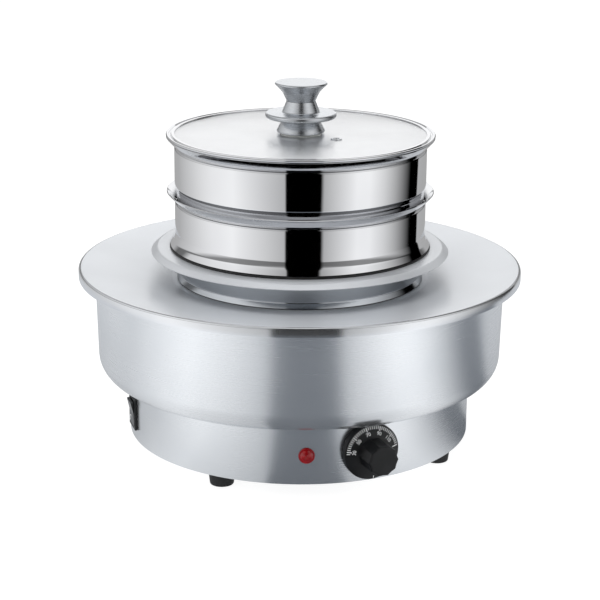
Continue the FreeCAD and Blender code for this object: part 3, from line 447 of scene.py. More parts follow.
# Distances from the shell's axis: the skirt's back edge, the back of the web inside it and
# the skirt's front edge. The face then rises to the foot of the grip.
SKIRT_BACK, WEB_BACK, SKIRT_FRONT, DIAL_RISE = 167.2, 171, 173.2, 4.0
skirt_inside = DIAL_RADIUS - SKIRT_WALL
grip_foot = SKIRT_FRONT + DIAL_RISE
dial_skirt = eased([
    (BORE, WEB_BACK), (skirt_inside, WEB_BACK), (skirt_inside, SKIRT_BACK),
    (DIAL_RADIUS, SKIRT_BACK, 0.4), (DIAL_RADIUS, SKIRT_FRONT, 0.9), (GRIP_RADIUS, grip_foot),
    (0, grip_foot), (0, grip_foot - 0.3), (BORE, grip_foot - 0.3)], closed=True)
dial = turned("thermostat_dial_skirt", dial_skirt, 128, dial_place)
dress(dial, black_phenolic, "thermostat_dial", "thermostat_knob")

FLATS, FLAT_STEPS, HOLLOW = 10, 8, 1.0
# Distance from the shell's axis and share of the grip's radius, up to its eased top edge
GRIP_RINGS = ((177.0, 1.0), (198.2, 0.975), (198.9, 0.93), (199.2, 0.86), (199.15, 0.8))
grip_rings = []
for distance, share in GRIP_RINGS:
    ring = []
    for step, (x, y, z) in enumerate(ring_of(share * MM, distance * MM, FLATS * FLAT_STEPS)):
        phase = (step % FLAT_STEPS) / FLAT_STEPS
        radius = GRIP_RADIUS - HOLLOW * math.sin(math.pi * phase)
        ring.append((x * radius, y * radius, z))
    grip_rings.append(ring)
grip = piece("thermostat_dial_grip", *skinned(grip_rings, capped=True), dial_place, soft=28)
dress(grip, black_phenolic, "thermostat_dial")

# White enamel ink, printed on the black plastics through a screen: it stands out clear and
# nearly matt, a little greyer where it is thin, in patches 2.4 mm across.
white_ink = clouded("ink_screen_printed_white", ("#F2F4F5", "#D5D8DA"), cloud_mm=2.4, detail=4,
                    turn=(0.5, 0.8), gloss=(0.45, 0.65))
# Thickness of the ink, and how far its lower side stands off the dial's cone, in mm
INK, INK_LIFT = 0.05, 0.06


def on_dial(clock, radius):
    """Place on the sloping face of the dial at a clock angle in degrees and a radius in mm."""
    angle = math.radians(clock)
    radial = math.sin(angle) * rightward + math.cos(angle) * upward
    tangent = math.cos(angle) * rightward - math.sin(angle) * upward
    run = DIAL_RADIUS - GRIP_RADIUS
    climb = (radial * run - outward * DIAL_RISE).normalized()
    height = SKIRT_FRONT + (DIAL_RADIUS - radius) * DIAL_RISE / run + INK_LIFT
    spot = outward * height * MM + radial * radius * MM + upward * DIAL_HEIGHT * MM
    place = Matrix((tangent, climb, tangent.cross(climb))).transposed().to_4x4()
    return Matrix.Translation(spot) @ place


def bar(name, width, length, place):
    """A thin printed bar, in mm, with its lower end at the place."""
    x, z = width * MM / 2, INK * MM
    y = length * MM
    verts = [(-x, 0, 0), (x, 0, 0), (x, y, 0), (-x, y, 0),
             (-x, 0, z), (x, 0, z), (x, y, z), (-x, y, z)]
    faces = [(0, 1, 2, 3), (4, 5, 6, 7), (0, 1, 5, 4), (1, 2, 6, 5), (2, 3, 7, 6), (3, 0, 4, 7)]
    return piece(name, verts, faces, place)


# Clock angles in degrees, and sizes in mm. Each seventh tick is long, and has a figure.
TICK_START, TICK_TURN, TICKS, TICK_END, LONG_EACH = -87.8, 4.8, 35, 25.4, 7
LONG_TICK, SHORT_TICK = (0.8, 4.4), (0.6, 3.2)
marks = []
for index in range(TICKS):
    width, length = LONG_TICK if index % LONG_EACH == 1 else SHORT_TICK
    marks.append(bar("dial_tick_%02d" % index, width, length,
                     on_dial(TICK_START + index * TICK_TURN, TICK_END - length)))
# Clock angle, width, length and inner radius of the two lines beside the scale
for name, clock, width, length, radius in (("dial_zero_line", 81, 0.8, 6.0, 19.4),
                                           ("dial_foot_line", 176, 0.7, 2.6, 23)):
    marks.append(bar(name, width, length, on_dial(clock, radius)))

FIGURE_HEIGHT, FIGURE_CIRCLE, FIGURE_DEPTH = 3.3, 18.6, 0.02
# Height of the built-in typeface's figures as a share of its size
FIGURE_SHARE = 0.7


def lettered(name, words, height, place):
    """Printed figures of a height in mm, centred on a place."""
    curve = bpy.data.curves.new(name, "FONT")
    curve.body = words
    curve.size = height * MM / FIGURE_SHARE
    curve.align_x = "CENTER"
    curve.align_y = "CENTER"
    curve.extrude = FIGURE_DEPTH * MM
    text = bpy.data.objects.new(name, curve)
    mesh = bpy.data.meshes.new_from_object(text)
    mesh.transform(place)
    bpy.data.objects.remove(text)
    made = bpy.data.objects.new(name, mesh)
    bpy.context.collection.objects.link(made)
    return made


for index, words in enumerate(("30", "50", "70", "90", "110")):
    clock = TICK_START + (1 + index * LONG_EACH) * TICK_TURN
    marks.append(lettered("dial_figure_" + words, words, FIGURE_HEIGHT,
                          on_dial(clock, FIGURE_CIRCLE)))
for mark in marks:
    dress(mark, white_ink, "thermostat_dial")

# Pilot lamp.
# A red polystyrene lens with moulded facets snaps over the lamp body; a nut behind the
# shell holds it.

LAMP_TURN, LAMP_HEIGHT = math.radians(-14.4), 41
lamp_place = facing(LAMP_TURN, LAMP_HEIGHT * MM)

# Clear red polystyrene, moulded: light enters it, so its facets glow and darken.
red_lens = clouded("polystyrene_moulded_red", ("#C01820", "#7E0A12"), cloud_mm=4.2, detail=2,
                   gloss=(0.08, 0.2), shading={"IOR": 1.59, "Transmission Weight": 0.25})
# Distance of the lens's tip from the shell's axis, and then the radius and distance of each
# ring, from the rings of facets out to the flange
LENS_TIP = 170.4
LENS_RINGS = ((2.2, 170.0), (4.3, 169.3), (5.9, 168.3), (6.1, 167.6), (7.2, 167.4),
              (7.5, 167.0), (7.5, 166.3))
FACETS, FACETED_RINGS, FACET_RISE = 16, 3, 0.35
lens_rings = [[(0, 0, LENS_TIP * MM)]]
for index, (radius, distance) in enumerate(LENS_RINGS):
    ring = ring_of(radius * MM, distance * MM, FACETS * 2)
    if index < FACETED_RINGS:
        raised = slice(index % 2, None, 2)
        ring[raised] = [(x, y, z + FACET_RISE * MM) for x, y, z in ring[raised]]
    lens_rings.append(ring)
lens = piece("pilot_lamp_lens", *skinned(lens_rings, capped=True), lamp_place, soft=12)
dress(lens, red_lens, "base", "pilot_lens")

# Rocker switch.
# A snap-in switch on the left of the base: a nylon frame and housing, and a glossy rocker
# with its two printed marks.

# Black nylon with a fine spark eroded skin, drawn at 0.5 mm.
black_nylon = moulded_plastic("nylon_moulded_black", "#121314", "#202122", 0.4, 0.5, 0.009)
# Polycarbonate from a polished mould: black and glossy with faint flow clouds.
glossy_black = moulded_plastic("polycarbonate_polished_black", "#0C0D0E", "#161718",
                               0.16, 3.0, 0.006)
coat(black_nylon, "switch_housing", "cord_gland", "cord_gland_nut")
coat(glossy_black, "switch_rocker")

SWITCH_TURN, SWITCH_HEIGHT = math.radians(-90), 39
ROCKER_PIVOT, ROCKER_REST = 165.5, math.radians(-7)
ROCKER_HALF, ROCKER_DIP = 11.85, 1.2
rocker_place = (facing(SWITCH_TURN, SWITCH_HEIGHT * MM)
                @ Matrix.Translation((0, 0, ROCKER_PIVOT * MM))
                @ Matrix.Rotation(ROCKER_REST, 4, "X"))
half_slope = math.atan2(ROCKER_DIP, ROCKER_HALF)
# The marks' sizes, and where each stands: along its half of the rocker and above the pivot
ON_WIDTH, ON_LENGTH, ON_ALONG, ON_RISE = 0.9, 5.0, 3.4, 3.36
OFF_INSIDE, OFF_OUTSIDE, OFF_ALONG, OFF_RISE, OFF_STEPS = 1.8, 2.6, -6.0, 3.62, 32
on_mark = bar("rocker_on_mark", ON_WIDTH, ON_LENGTH, rocker_place
              @ Matrix.Translation((0, ON_ALONG * MM, ON_RISE * MM))
              @ Matrix.Rotation(half_slope, 4, "X"))
dress(on_mark, white_ink, "rocker")
off_section = eased([(OFF_INSIDE, 0), (OFF_OUTSIDE, 0), (OFF_OUTSIDE, INK), (OFF_INSIDE, INK)],
                    closed=True)
off_mark = turned("rocker_off_mark", off_section, OFF_STEPS, rocker_place
                  @ Matrix.Translation((0, OFF_ALONG * MM, OFF_RISE * MM))
                  @ Matrix.Rotation(-half_slope, 4, "X"))
dress(off_mark, white_ink, "rocker")

# Cover.
# A spun stainless disc over the pan: rolled down at its edge, and dished to a flat land
# with a low upstand round the opening. Its top is left as it was spun, and it lies loose.

# 304 stainless steel as the last spinning pass leaves it: faint rings, half matt, with a
# film of dried steam that scatters part of the light. The rings are drawn 1.6 mm apart.
spun_satin = worked_steel("satin_stainless_spun", "#DDE0E4", "#D6D9DD", 0.3, 1.6, 0.0002, 0.02,
                          metal=0.4, uneven=0.04)
# The rolled edge was buffed, but handling and stacking have taken its first gloss.
rolled_edge = worked_steel("stainless_buffed_handled", "#E6E8EB", "#DCDFE3",
                           0.13, 1.4, 0.0010, 0.05, metal=0.93)

cover_low, cover_high = corners_of("cover_plate")
COVER_GAUGE, EDGE_DROP, EDGE_ROLL, ROLL_REACH, UPSTAND = 1, 9.3, 2.4, 2.5, 8
LAND_RADIUS, LAND_BEND, OPENING_RADIUS, OPENING_BEND = 124, 12, 113.6, 1.5
cover_edge = cover_high[2]
land = cover_low[2] + COVER_GAUGE
reach = min(cover_high[0], -cover_low[0])
cover_section = sheet([
    (reach, cover_edge - EDGE_DROP),
    (reach, cover_edge, EDGE_ROLL),
    (LAND_RADIUS, land, LAND_BEND),
    (OPENING_RADIUS, land, OPENING_BEND),
    (OPENING_RADIUS, land + UPSTAND),
], COVER_GAUGE)
cover = turned("pan_cover", cover_section)
dress(cover, rolled_edge, "cover", "cover_plate")
cover.data.materials.append(spun_satin)
for face in cover.data.polygons:
    if face.center.xy.length / MM < cover_high[0] - ROLL_REACH:
        face.material_index = 1

# Adapter ring and seal.
# A spun collar that carries the baskets over the opening, its foot flared to stand on the
# cover's land, with a moulded silicone ring laid on its flange.

# The collar's wall under the flange, grey and a little hazy: its darker grey is painted shade from
# the flange above it. Its rings are drawn 1.4 mm apart.
shaded_collar_steel = worked_steel("stainless_spun_collar_shaded", "#C6CACF", "#B7BCC2",
                                0.1, 1.4, 0.0010, 0.05)

COLLAR_GAUGE, COLLAR_HEIGHT, SHADE_DROP, FLARE_HEIGHT, LIP_DROP = 1, 29.8, 7, 4.9, 5.2
# Radii of the collar's foot, waist and top, and of its flange's bend and lip
COLLAR_FOOT, COLLAR_WAIST, COLLAR_TOP, FLANGE_BEND, FLANGE_LIP = 118.6, 115.6, 120.3, 137.2, 142.4
flange = corners_of("adapter_ring")[1][2]
foot = flange - COLLAR_HEIGHT
collar_section = sheet([
    (COLLAR_FOOT, foot),
    (COLLAR_WAIST, foot + FLARE_HEIGHT, 2.5),
    (COLLAR_TOP, flange - COLLAR_GAUGE, 2.2),
    (FLANGE_BEND, flange - COLLAR_GAUGE, 4),
    (FLANGE_LIP, flange - LIP_DROP),
], COLLAR_GAUGE)
adapter = turned("basket_adapter", collar_section)
dress(adapter, spun_satin, "adapter", "adapter_ring")
# Faces lower than the flange by more than the drop take the darker steel: painted shade under the
# flange
adapter.data.materials.append(shaded_collar_steel)
for face in adapter.data.polygons:
    if face.center.z / MM < flange - SHADE_DROP:
        face.material_index = 1

# Black silicone, moulded: satin, with a dusty bloom in patches.
black_silicone = moulded_rubber("silicone_moulded_black", "#121213", "#2A2A2B", 0.42)
seal_low, seal_high = corners_of("basket_seal")
SEAL_INSIDE, SEAL_OUTSIDE = 119.9, 125.2
seal_section = eased([(SEAL_INSIDE, seal_low[2], 0.8), (SEAL_OUTSIDE, seal_low[2], 0.8),
                      (SEAL_OUTSIDE, seal_high[2], 1.2), (SEAL_INSIDE, seal_high[2], 1.2)],
                     closed=True)
seal = turned("basket_seal_ring", seal_section)
dress(seal, black_silicone, "adapter", "basket_seal")

# Lower basket.
# A stainless wall spun with a flared foot, a bead that carries the next basket and a
# flared rim; its perforated floor is spot welded inside.

# Mirror polished 304 stainless steel, buffed on the lathe. It reflects the room, drawn out
# a little by the buffing lines, which are drawn 1.4 mm apart so that they show.
mirror_stainless = worked_steel("mirror_stainless_buffed", "#E7E8EA", "#DFE0E3",
                                0.045, 1.4, 0.0010, 0.08)

low_low, low_high = corners_of("lower_basket_wall")
WALL, WALL_GAUGE = 119.2, 0.8
BEAD_DROP, BEAD_HALF, BEAD_DEPTH, FLARE = 9.9, 1.7, 2, 7.7
# The edges of the sheet lie this far inside the CAD box
FOOT_INSET, RIM_INSET = 0.05, 0.35


def rim_of(top):
    """Bead and flared rim of a basket whose rim ends at a height in mm."""
    bead = top - BEAD_DROP
    return [(WALL, bead - BEAD_HALF, 1.0), (WALL - BEAD_DEPTH, bead, 0.9),
            (WALL, bead + BEAD_HALF, 1.0), (WALL + FLARE, top)]


# How far the foot and its bend stand out from the wall, and how high the bend and wall start
FOOT_FLARE, BEND_FLARE, BEND_RISE, WALL_RISE, FOOT_ROUND = 4.9, 1.6, 5.7, 12.6, 9
low_foot = low_low[2] + FOOT_INSET
lower_wall = turned("lower_basket_side", sheet(
    [(WALL + FOOT_FLARE, low_foot), (WALL + BEND_FLARE, low_foot + BEND_RISE, FOOT_ROUND),
     (WALL, low_foot + WALL_RISE, FOOT_ROUND)]
    + rim_of(low_high[2] - RIM_INSET), -WALL_GAUGE))
dress(lower_wall, mirror_stainless, "lower_basket", "lower_basket_wall")

HOLE_PITCH, HOLE_RADIUS, HOLE_RINGS, HOLE_STEPS = 30, 4.5, 3, 24
RIM_STEPS = 180


def punched_floor(name, radius, height, lip):
    """A floor of sheet steel with round punched holes, and a turned-up lip if it has one."""
    work = bmesh.new()
    holes = [(0, 0, 0)]
    for ring in range(1, HOLE_RINGS + 1):
        holes += ring_of(HOLE_PITCH * MM * ring, 0, 6 * ring)
    loops = [ring_of(radius * MM, height * MM, RIM_STEPS)]
    loops += [ring_of(HOLE_RADIUS * MM, height * MM, HOLE_STEPS, hole) for hole in holes]
    edges = []
    for loop in loops:
        verts = [work.verts.new(point) for point in loop]
        edges += [work.edges.new(pair) for pair in zip(verts, verts[1:] + verts[:1])]
    bmesh.ops.triangle_fill(work, use_beauty=True, edges=edges)
    for face in list(work.faces):
        centre = face.calc_center_median()
        if any(math.hypot(centre.x - x, centre.y - y) < 0.95 * HOLE_RADIUS * MM
               for x, y, z in holes):
            work.faces.remove(face)
    made = bmesh.ops.extrude_face_region(work, geom=list(work.faces))
    for item in made["geom"]:
        if isinstance(item, bmesh.types.BMVert):
            item.co.z += WALL_GAUGE * MM
    work.verts.index_update()
    verts = [v.co.copy() for v in work.verts]
    faces = [[v.index for v in face.verts] for face in work.faces]
    work.free()
    if lip:
        section = [(radius - WALL_GAUGE, height + WALL_GAUGE), (radius - WALL_GAUGE, height + lip),
                   (radius, height + lip), (radius, height)]
        rings, bands = skinned([ring_of(r * MM, z * MM, RIM_STEPS) for r, z in section])
        faces += [[v + len(verts) for v in band] for band in bands]
        verts += rings
    return piece(name, verts, faces)


FLOOR_INSET, FLOOR_LIP = 0.02, 6
floor_low, floor_high = corners_of("lower_basket_floor")
lower_floor = punched_floor("lower_basket_tray", floor_high[0] - FLOOR_INSET, floor_low[2],
                            FLOOR_LIP)
dress(lower_floor, mirror_stainless, "lower_basket", "lower_basket_floor")

# Upper basket.
# As the lower one, but its foot nests inside the rim below and turns in to carry the
# floor; a shoulder above the foot closes the joint.

up_low, up_high = corners_of("upper_basket_wall")
NEST, SHELF, SHOULDER_GAP, SHOULDER_RISE = 117.6, 10, 1.1, 4.7
nest_foot = up_low[2] + WALL_GAUGE
shoulder = low_high[2] + SHOULDER_GAP
upper_wall = turned("upper_basket_side", sheet(
    [(NEST - SHELF, nest_foot), (NEST, nest_foot, 1.2), (NEST, shoulder, 1.5),
     (WALL, shoulder + SHOULDER_RISE, 2)] + rim_of(up_high[2] - RIM_INSET), -WALL_GAUGE))
dress(upper_wall, mirror_stainless, "upper_basket", "upper_basket_wall")
tray_low, tray_high = corners_of("upper_basket_floor")
upper_floor = punched_floor("upper_basket_tray", tray_high[0] - FLOOR_INSET, tray_low[2], 0)
dress(upper_floor, mirror_stainless, "upper_basket", "upper_basket_floor")

# Lid.
# A toughened glass disc in a rolled stainless channel, which has a groove between two
# beads and a skirt that sits in the basket's rim. A nickel plated eyelet lets steam out.

rim_low, rim_high = corners_of("lid_rim")
bottom, top = rim_low[2], rim_high[2]
CHANNEL_INSIDE, SKIRT_OUTSIDE, CHANNEL_GAUGE, GLASS_SLOT = 119.6, 122.6, 0.9, 121.5
# Radii of the outer bead's foot and both its sides, of the groove, and of the inner bead
BEAD_FOOT, BEAD_OUTSIDE, BEAD_INSIDE = 125.9, 127.8, 125.6
GROOVE_OUTSIDE, GROOVE_INSIDE, GROOVE_DEPTH, INNER_BEAD = 124.6, 123.4, 1.6, 122.6
lid_section = eased([
    (CHANNEL_INSIDE, bottom, 0.3), (SKIRT_OUTSIDE, bottom, 0.8), (BEAD_FOOT, top - 2.4),
    (BEAD_OUTSIDE - 0.6, top - 2.2, 0.7), (BEAD_OUTSIDE, top - 0.9, 0.6),
    (BEAD_OUTSIDE - 0.8, top, 0.6), (BEAD_INSIDE, top, 0.6),
    (GROOVE_OUTSIDE, top - GROOVE_DEPTH, 0.4), (GROOVE_INSIDE, top - GROOVE_DEPTH, 0.4),
    (INNER_BEAD, top, 0.5), (CHANNEL_INSIDE, top, 0.4), (CHANNEL_INSIDE, top - CHANNEL_GAUGE),
    (GLASS_SLOT, top - CHANNEL_GAUGE), (GLASS_SLOT, bottom + CHANNEL_GAUGE),
    (CHANNEL_INSIDE, bottom + CHANNEL_GAUGE)], closed=True)
lid_ring = turned("lid_channel", lid_section)
dress(lid_ring, mirror_stainless, "lid", "lid_rim")


# How far the shading leans the glass's surface outward, as a slight dome would: the slope for each
# metre from the centre
GLASS_BEND = 1.17


def clear_glass():
    """Toughened soda-lime glass: clear, misted below by steam, and shaded as though slightly domed.
    """
    material, tree, output = blank("glass_toughened_misted")
    spot = add(tree, "ShaderNodeTexCoord").outputs["Object"]
    mist = add(tree, "ShaderNodeTexNoise", {"Vector": spot, "Scale": every(71),
                                            "Detail": 4.0})
    share = add(tree, "ShaderNodeMapRange", {"Value": mist.outputs["Fac"], "From Min": 0.3,
                                             "From Max": 0.7, "To Min": 0.72, "To Max": 0.82})
    flat = add(tree, "ShaderNodeVectorMath", {0: spot, 1: (GLASS_BEND, GLASS_BEND, 0)},
               operation="MULTIPLY")
    normal = add(tree, "ShaderNodeNewGeometry").outputs["Normal"]
    bent = add(tree, "ShaderNodeVectorMath", {0: flat.outputs[0], 1: normal}, operation="ADD")
    bent = add(tree, "ShaderNodeVectorMath", {0: bent.outputs[0]}, operation="NORMALIZE")
    clear = add(tree, "ShaderNodeBsdfPrincipled", {
        "Base Color": linear("#F4FAF7"), "Roughness": 0.02, "IOR": 1.52,
        "Transmission Weight": 1.0})
    film = add(tree, "ShaderNodeBsdfPrincipled", {
        "Base Color": linear("#F2F3F5"), "Roughness": 0.3, "IOR": 1.9,
        "Normal": bent.outputs[0], "Metallic": 0.9})
    both = add(tree, "ShaderNodeMixShader", {0: share.outputs[0], 1: clear.outputs[0],
                                             2: film.outputs[0]})
    tree.links.new(both.outputs[0], output.inputs[0])
    return material


coat(clear_glass(), "lid_glass")
# The light that falls through the glass is left as it is, so the baskets stay lit below it
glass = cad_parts["lid_glass"]
glass.visible_shadow = False
glass.visible_diffuse = False

# Nickel plated brass, rolled over the glass on both sides of its hole.
rolled_nickel = drawn_metal("brass_nickel_plated", "#EEF0F2", "#D3D6DA", 0.2)
EYELET_TURN, EYELET_REACH = math.radians(32), 44
eyelet_low, eyelet_high = [corner[2] for corner in corners_of("lid_steam_eyelet")]
eyelet_spot = Matrix.Translation((EYELET_REACH * MM * math.sin(EYELET_TURN),
                                  -EYELET_REACH * MM * math.cos(EYELET_TURN), 0))
EYELET_BORE, EYELET_WALL, EYELET_LIP, LIP_DEPTH = 2.5, 3.9, 5.2, 1.2
eyelet = turned("lid_eyelet", eased([
    (EYELET_BORE, eyelet_low, 0.4), (EYELET_LIP, eyelet_low, 0.4),
    (EYELET_LIP, eyelet_low + LIP_DEPTH), (EYELET_WALL, eyelet_low + LIP_DEPTH),
    (EYELET_WALL, eyelet_high - LIP_DEPTH), (EYELET_LIP, eyelet_high - LIP_DEPTH),
    (EYELET_LIP, eyelet_high - 0.4, 0.3), (4.2, eyelet_high, 0.5), (2.9, eyelet_high, 0.5),
    (EYELET_BORE, eyelet_high - 0.8, 0.4)], closed=True), 64, eyelet_spot)
dress(eyelet, rolled_nickel, "lid", "lid_steam_eyelet")

# Milky silicone, die cut: soft and half clear, with a satin skin.
clear_silicone = moulded_rubber("silicone_die_cut_milky", "#D7D8D6", "#C6C8C7", 0.4)
coat(clear_silicone, "lid_upper_washer", "lid_lower_washer")

# Lid knob.
# Three stainless pieces on one screw: a conical seat, a finger guard with a neck, and a
# cap that flares to a flat top. All are turned from bar and show the tool's feed marks.

# Turned 303 stainless steel. The tool leaves rings 0.15 mm apart, drawn at 0.8 mm.
turned_stainless = worked_steel("stainless_lathe_turned", "#D9DCE0", "#C6CACF",
                                0.25, 0.8, 0.012, 0.02)

KNOB_STEPS, SCREW_HOLE = 128, 3.2
seat_low, seat_high = corners_of("lid_knob_seat")
SEAT_RADIUS, SEAT_TOP = 22.8, 16.5
seat_piece = turned("lid_knob_foot", eased([
    (SCREW_HOLE, seat_low[2]), (SEAT_RADIUS, seat_low[2], 0.3),
    (SEAT_RADIUS, seat_low[2] + 1.5, 0.5), (SEAT_TOP, seat_high[2], 0.5),
    (SCREW_HOLE, seat_high[2])], closed=True), KNOB_STEPS)
guard_low, guard_high = corners_of("lid_knob_guard")
GUARD_RADIUS, GUARD_THICK, NECK_FOOT, NECK_TOP = 33.8, 5, 18.0, 13.8
base = guard_low[2]
guard_piece = turned("lid_knob_finger_guard", eased([
    (SCREW_HOLE, base), (GUARD_RADIUS, base, 2.3), (GUARD_RADIUS, base + GUARD_THICK, 2.3),
    (NECK_FOOT, base + GUARD_THICK, 2.5), (NECK_TOP, guard_high[2]),
    (SCREW_HOLE, guard_high[2])], closed=True), KNOB_STEPS)
cap_low, cap_high = corners_of("lid_knob_cap")
WAIST_RADIUS, CROWN_RADIUS, CAP_HOLE, HOLE_DEPTH = 13.6, 25.2, 3.1, 10.3
HOLLOW_RADIUS, HOLLOW_RISE, HOLLOW_ROUND = 17.7, 9.0, 16
waist, crown = cap_low[2], cap_high[2]
cap_piece = turned("lid_knob_cap_top", eased([
    (CAP_HOLE, waist), (WAIST_RADIUS, waist, 0.3), (HOLLOW_RADIUS, waist + HOLLOW_RISE, HOLLOW_ROUND),
    (CROWN_RADIUS, crown - 1.4, 0.8), (CROWN_RADIUS - 1, crown, 0.8), (0, crown),
    (0, waist + HOLE_DEPTH), (CAP_HOLE, waist + HOLE_DEPTH)], closed=True), KNOB_STEPS)
for made, node in ((seat_piece, "lid_knob_seat"), (guard_piece, "lid_knob_guard"),
                   (cap_piece, "lid_knob_cap")):
    dress(made, turned_stainless, "lid", node)

# Studio.
# A white table in a round tent of white cloth panels, whose black gaps give polished
# steel its dark stripes, under a dim ceiling. Tent, ceiling and the paper on the table are
# seen by the steel alone. The camera looks down at the machine from its left.

VIEW_TURN = math.radians(-17)
to_camera = Vector((math.sin(VIEW_TURN), -math.cos(VIEW_TURN), 0))
camera_right = Vector((math.cos(VIEW_TURN), math.sin(VIEW_TURN), 0))

# Azimuth in degrees from the camera towards its right, and how bright the cloth is there
CLOTH_PANELS = ((-180, 0.03), (-166, 0.03), (-165, 0.4), (-135, 0.5), (-105, 0.75), (-80, 1.0),
                (-58, 1.1), (-12, 0.55), (-11.5, 0.0), (18, 0.0), (18.5, 0.5), (48, 1.08),
                (60, 1.08), (75, 0.8), (88, 0.5), (100, 0.2), (109, 0.0), (124, 0.0),
                (125, 0.5), (165, 0.4), (166, 0.03), (180, 0.03))
# The same on the paper, whose near parts the base shows at a narrower angle
TABLE_PANELS = ((-180, 0.03), (-166, 0.03), (-165, 0.4), (-135, 0.5), (-85, 0.62), (-66, 0.9),
                (-50, 1.1), (-12, 0.55), (-11.5, 0.0), (18, 0.0), (18.5, 0.5), (44, 1.08),
                (54, 1.08), (64, 0.8), (72, 0.5), (79, 0.2), (86, 0.0), (100, 0.0), (106, 0.5),
                (165, 0.4), (166, 0.03), (180, 0.03))
# A white panel high up behind the machine, which the cover and the glass show
BACK_PANEL = ((-180, 1.0), (-158, 1.0), (-156, 0.0), (156, 0.0), (158, 1.0), (180, 1.0))
BRIGHTEST = 1.1


def cloth_shade(tree, spot, panels):
    """Brightness of panels in the direction of a position, measured round the machine."""
    along = add(tree, "ShaderNodeVectorMath", {0: spot, 1: to_camera}, operation="DOT_PRODUCT")
    across = add(tree, "ShaderNodeVectorMath", {0: spot, 1: camera_right},
                 operation="DOT_PRODUCT")
    turn = add(tree, "ShaderNodeMath", {0: across.outputs["Value"], 1: along.outputs["Value"]},
               operation="ARCTAN2")
    share = add(tree, "ShaderNodeMapRange", {"Value": turn.outputs[0], "From Min": -math.pi,
                                             "From Max": math.pi})
    stops = tuple(((azimuth + 180) / 360, shade / BRIGHTEST) for azimuth, shade in panels)
    return add(tree, "ShaderNodeValToRGB", {"Fac": share.outputs[0]}, stops).outputs["Color"]


def stage_mesh(name, verts, faces, material):
    """A mesh of the studio, which isn't a part of the machine."""
    mesh = bpy.data.meshes.new(name)
    mesh.from_pydata(verts, [], faces)
    mesh.materials.append(material)
    made = bpy.data.objects.new(name, mesh)
    bpy.context.collection.objects.link(made)
    return made


# Strength of what glows in the studio
GLOW = 1.25


def glowing(name, shade):
    """Cloth or paper lit so that it shows in the steel; shade builds its colour."""
    material, tree, output = blank(name)
    spot = add(tree, "ShaderNodeTexCoord").outputs["Object"]
    glow = add(tree, "ShaderNodeEmission", {"Color": shade(tree, spot), "Strength": GLOW})
    tree.links.new(glow.outputs[0], output.inputs[0])
    material.cycles.emission_sampling = "NONE"
    return material


def only_mirrored(made):
    """Leaves a piece of the studio to the reflections alone."""
    made.visible_camera = False
    made.visible_diffuse = False
    made.visible_shadow = False
    made.visible_transmission = False


def paper_shade(tree, spot):
    """The paper as the steel shows it: darker near the machine, where that shades it."""
    reach = add(tree, "ShaderNodeVectorMath", {0: spot}, operation="LENGTH")
    near = add(tree, "ShaderNodeValToRGB", {"Fac": reach.outputs["Value"]},
               ((0.18, 0.7), (0.55, 1.0)))
    paper = add(tree, "ShaderNodeMix", {"Factor": 0.2, "A": cloth_shade(tree, spot, TABLE_PANELS),
                                        "B": linear("#DCE6F4")}, data_type="RGBA")
    both = add(tree, "ShaderNodeMix", {"Factor": 1.0, "A": paper.outputs["Result"],
                                       "B": near.outputs["Color"]},
               data_type="RGBA", blend_type="MULTIPLY")
    return both.outputs["Result"]


TENT_RADIUS, TENT_HEIGHT = 0.75, 1.3


def tent_shade(tree, spot):
    """The tent: a dark seam low down, less light towards the top, and the panel behind."""
    height = add(tree, "ShaderNodeSeparateXYZ", {0: spot})
    share = add(tree, "ShaderNodeMath", {0: height.outputs[2], 1: 1 / TENT_HEIGHT},
                operation="MULTIPLY")
    fade = add(tree, "ShaderNodeValToRGB", {"Fac": share.outputs[0]},
               ((0.17, 0.88), (0.21, 0.25), (0.26, 0.25), (0.3, 0.88), (0.5, 0.8), (1.0, 0.35)))
    high_up = add(tree, "ShaderNodeValToRGB", {"Fac": share.outputs[0]}, ((0.2, 0.0), (0.23, 1.0)))
    lit = []
    for panels, rise in ((CLOTH_PANELS, fade), (BACK_PANEL, high_up)):
        lit.append(add(tree, "ShaderNodeMix", {"Factor": 1.0, "A": cloth_shade(tree, spot, panels),
                                               "B": rise.outputs["Color"]},
                       data_type="RGBA", blend_type="MULTIPLY").outputs["Result"])
    both = add(tree, "ShaderNodeMix", {"Factor": 1.0, "A": lit[0], "B": lit[1]},
               data_type="RGBA", blend_type="LIGHTEN")
    return both.outputs["Result"]


ROOM = 5.0


def ceiling_shade(tree, spot):
    """The room over the tent: white near the horizon, dim higher up, less so overhead."""
    height = add(tree, "ShaderNodeSeparateXYZ", {0: spot})
    share = add(tree, "ShaderNodeMath", {0: height.outputs[2], 1: 1 / ROOM},
                operation="MULTIPLY")
    dim = add(tree, "ShaderNodeValToRGB", {"Fac": share.outputs[0]},
              ((0.36, 0.9), (0.62, 0.3), (0.85, 0.3), (0.97, 0.55)))
    return dim.outputs["Color"]


TABLE_DROP, TABLE_REACH = 0.0005, 6.0
corners = [(x * TABLE_REACH, y * TABLE_REACH) for x, y in ((-1, -1), (1, -1), (1, 1), (-1, 1))]
# White laminate: it takes the machine's shadow, and its own light keeps it white
table_white, tree, output = blank("table_white")
diffuse = add(tree, "ShaderNodeBsdfDiffuse", {"Color": linear("#F6F6F6")})
glow = add(tree, "ShaderNodeEmission", {"Color": (1, 1, 1, 1), "Strength": GLOW})
white = add(tree, "ShaderNodeMixShader", {0: 0.72, 1: diffuse.outputs[0], 2: glow.outputs[0]})
path = add(tree, "ShaderNodeLightPath")
seen = add(tree, "ShaderNodeMixShader", {0: path.outputs["Is Diffuse Ray"],
                                         1: white.outputs[0], 2: diffuse.outputs[0]})
tree.links.new(seen.outputs[0], output.inputs[0])
table_white.cycles.emission_sampling = "NONE"
table = stage_mesh("table", [(x, y, -TABLE_DROP) for x, y in corners], [(0, 1, 2, 3)],
                   table_white)
table.visible_glossy = False
only_mirrored(stage_mesh("table_paper", [(x, y, -2 * TABLE_DROP) for x, y in corners],
                         [(0, 1, 2, 3)], glowing("table_paper_lit", paper_shade)))

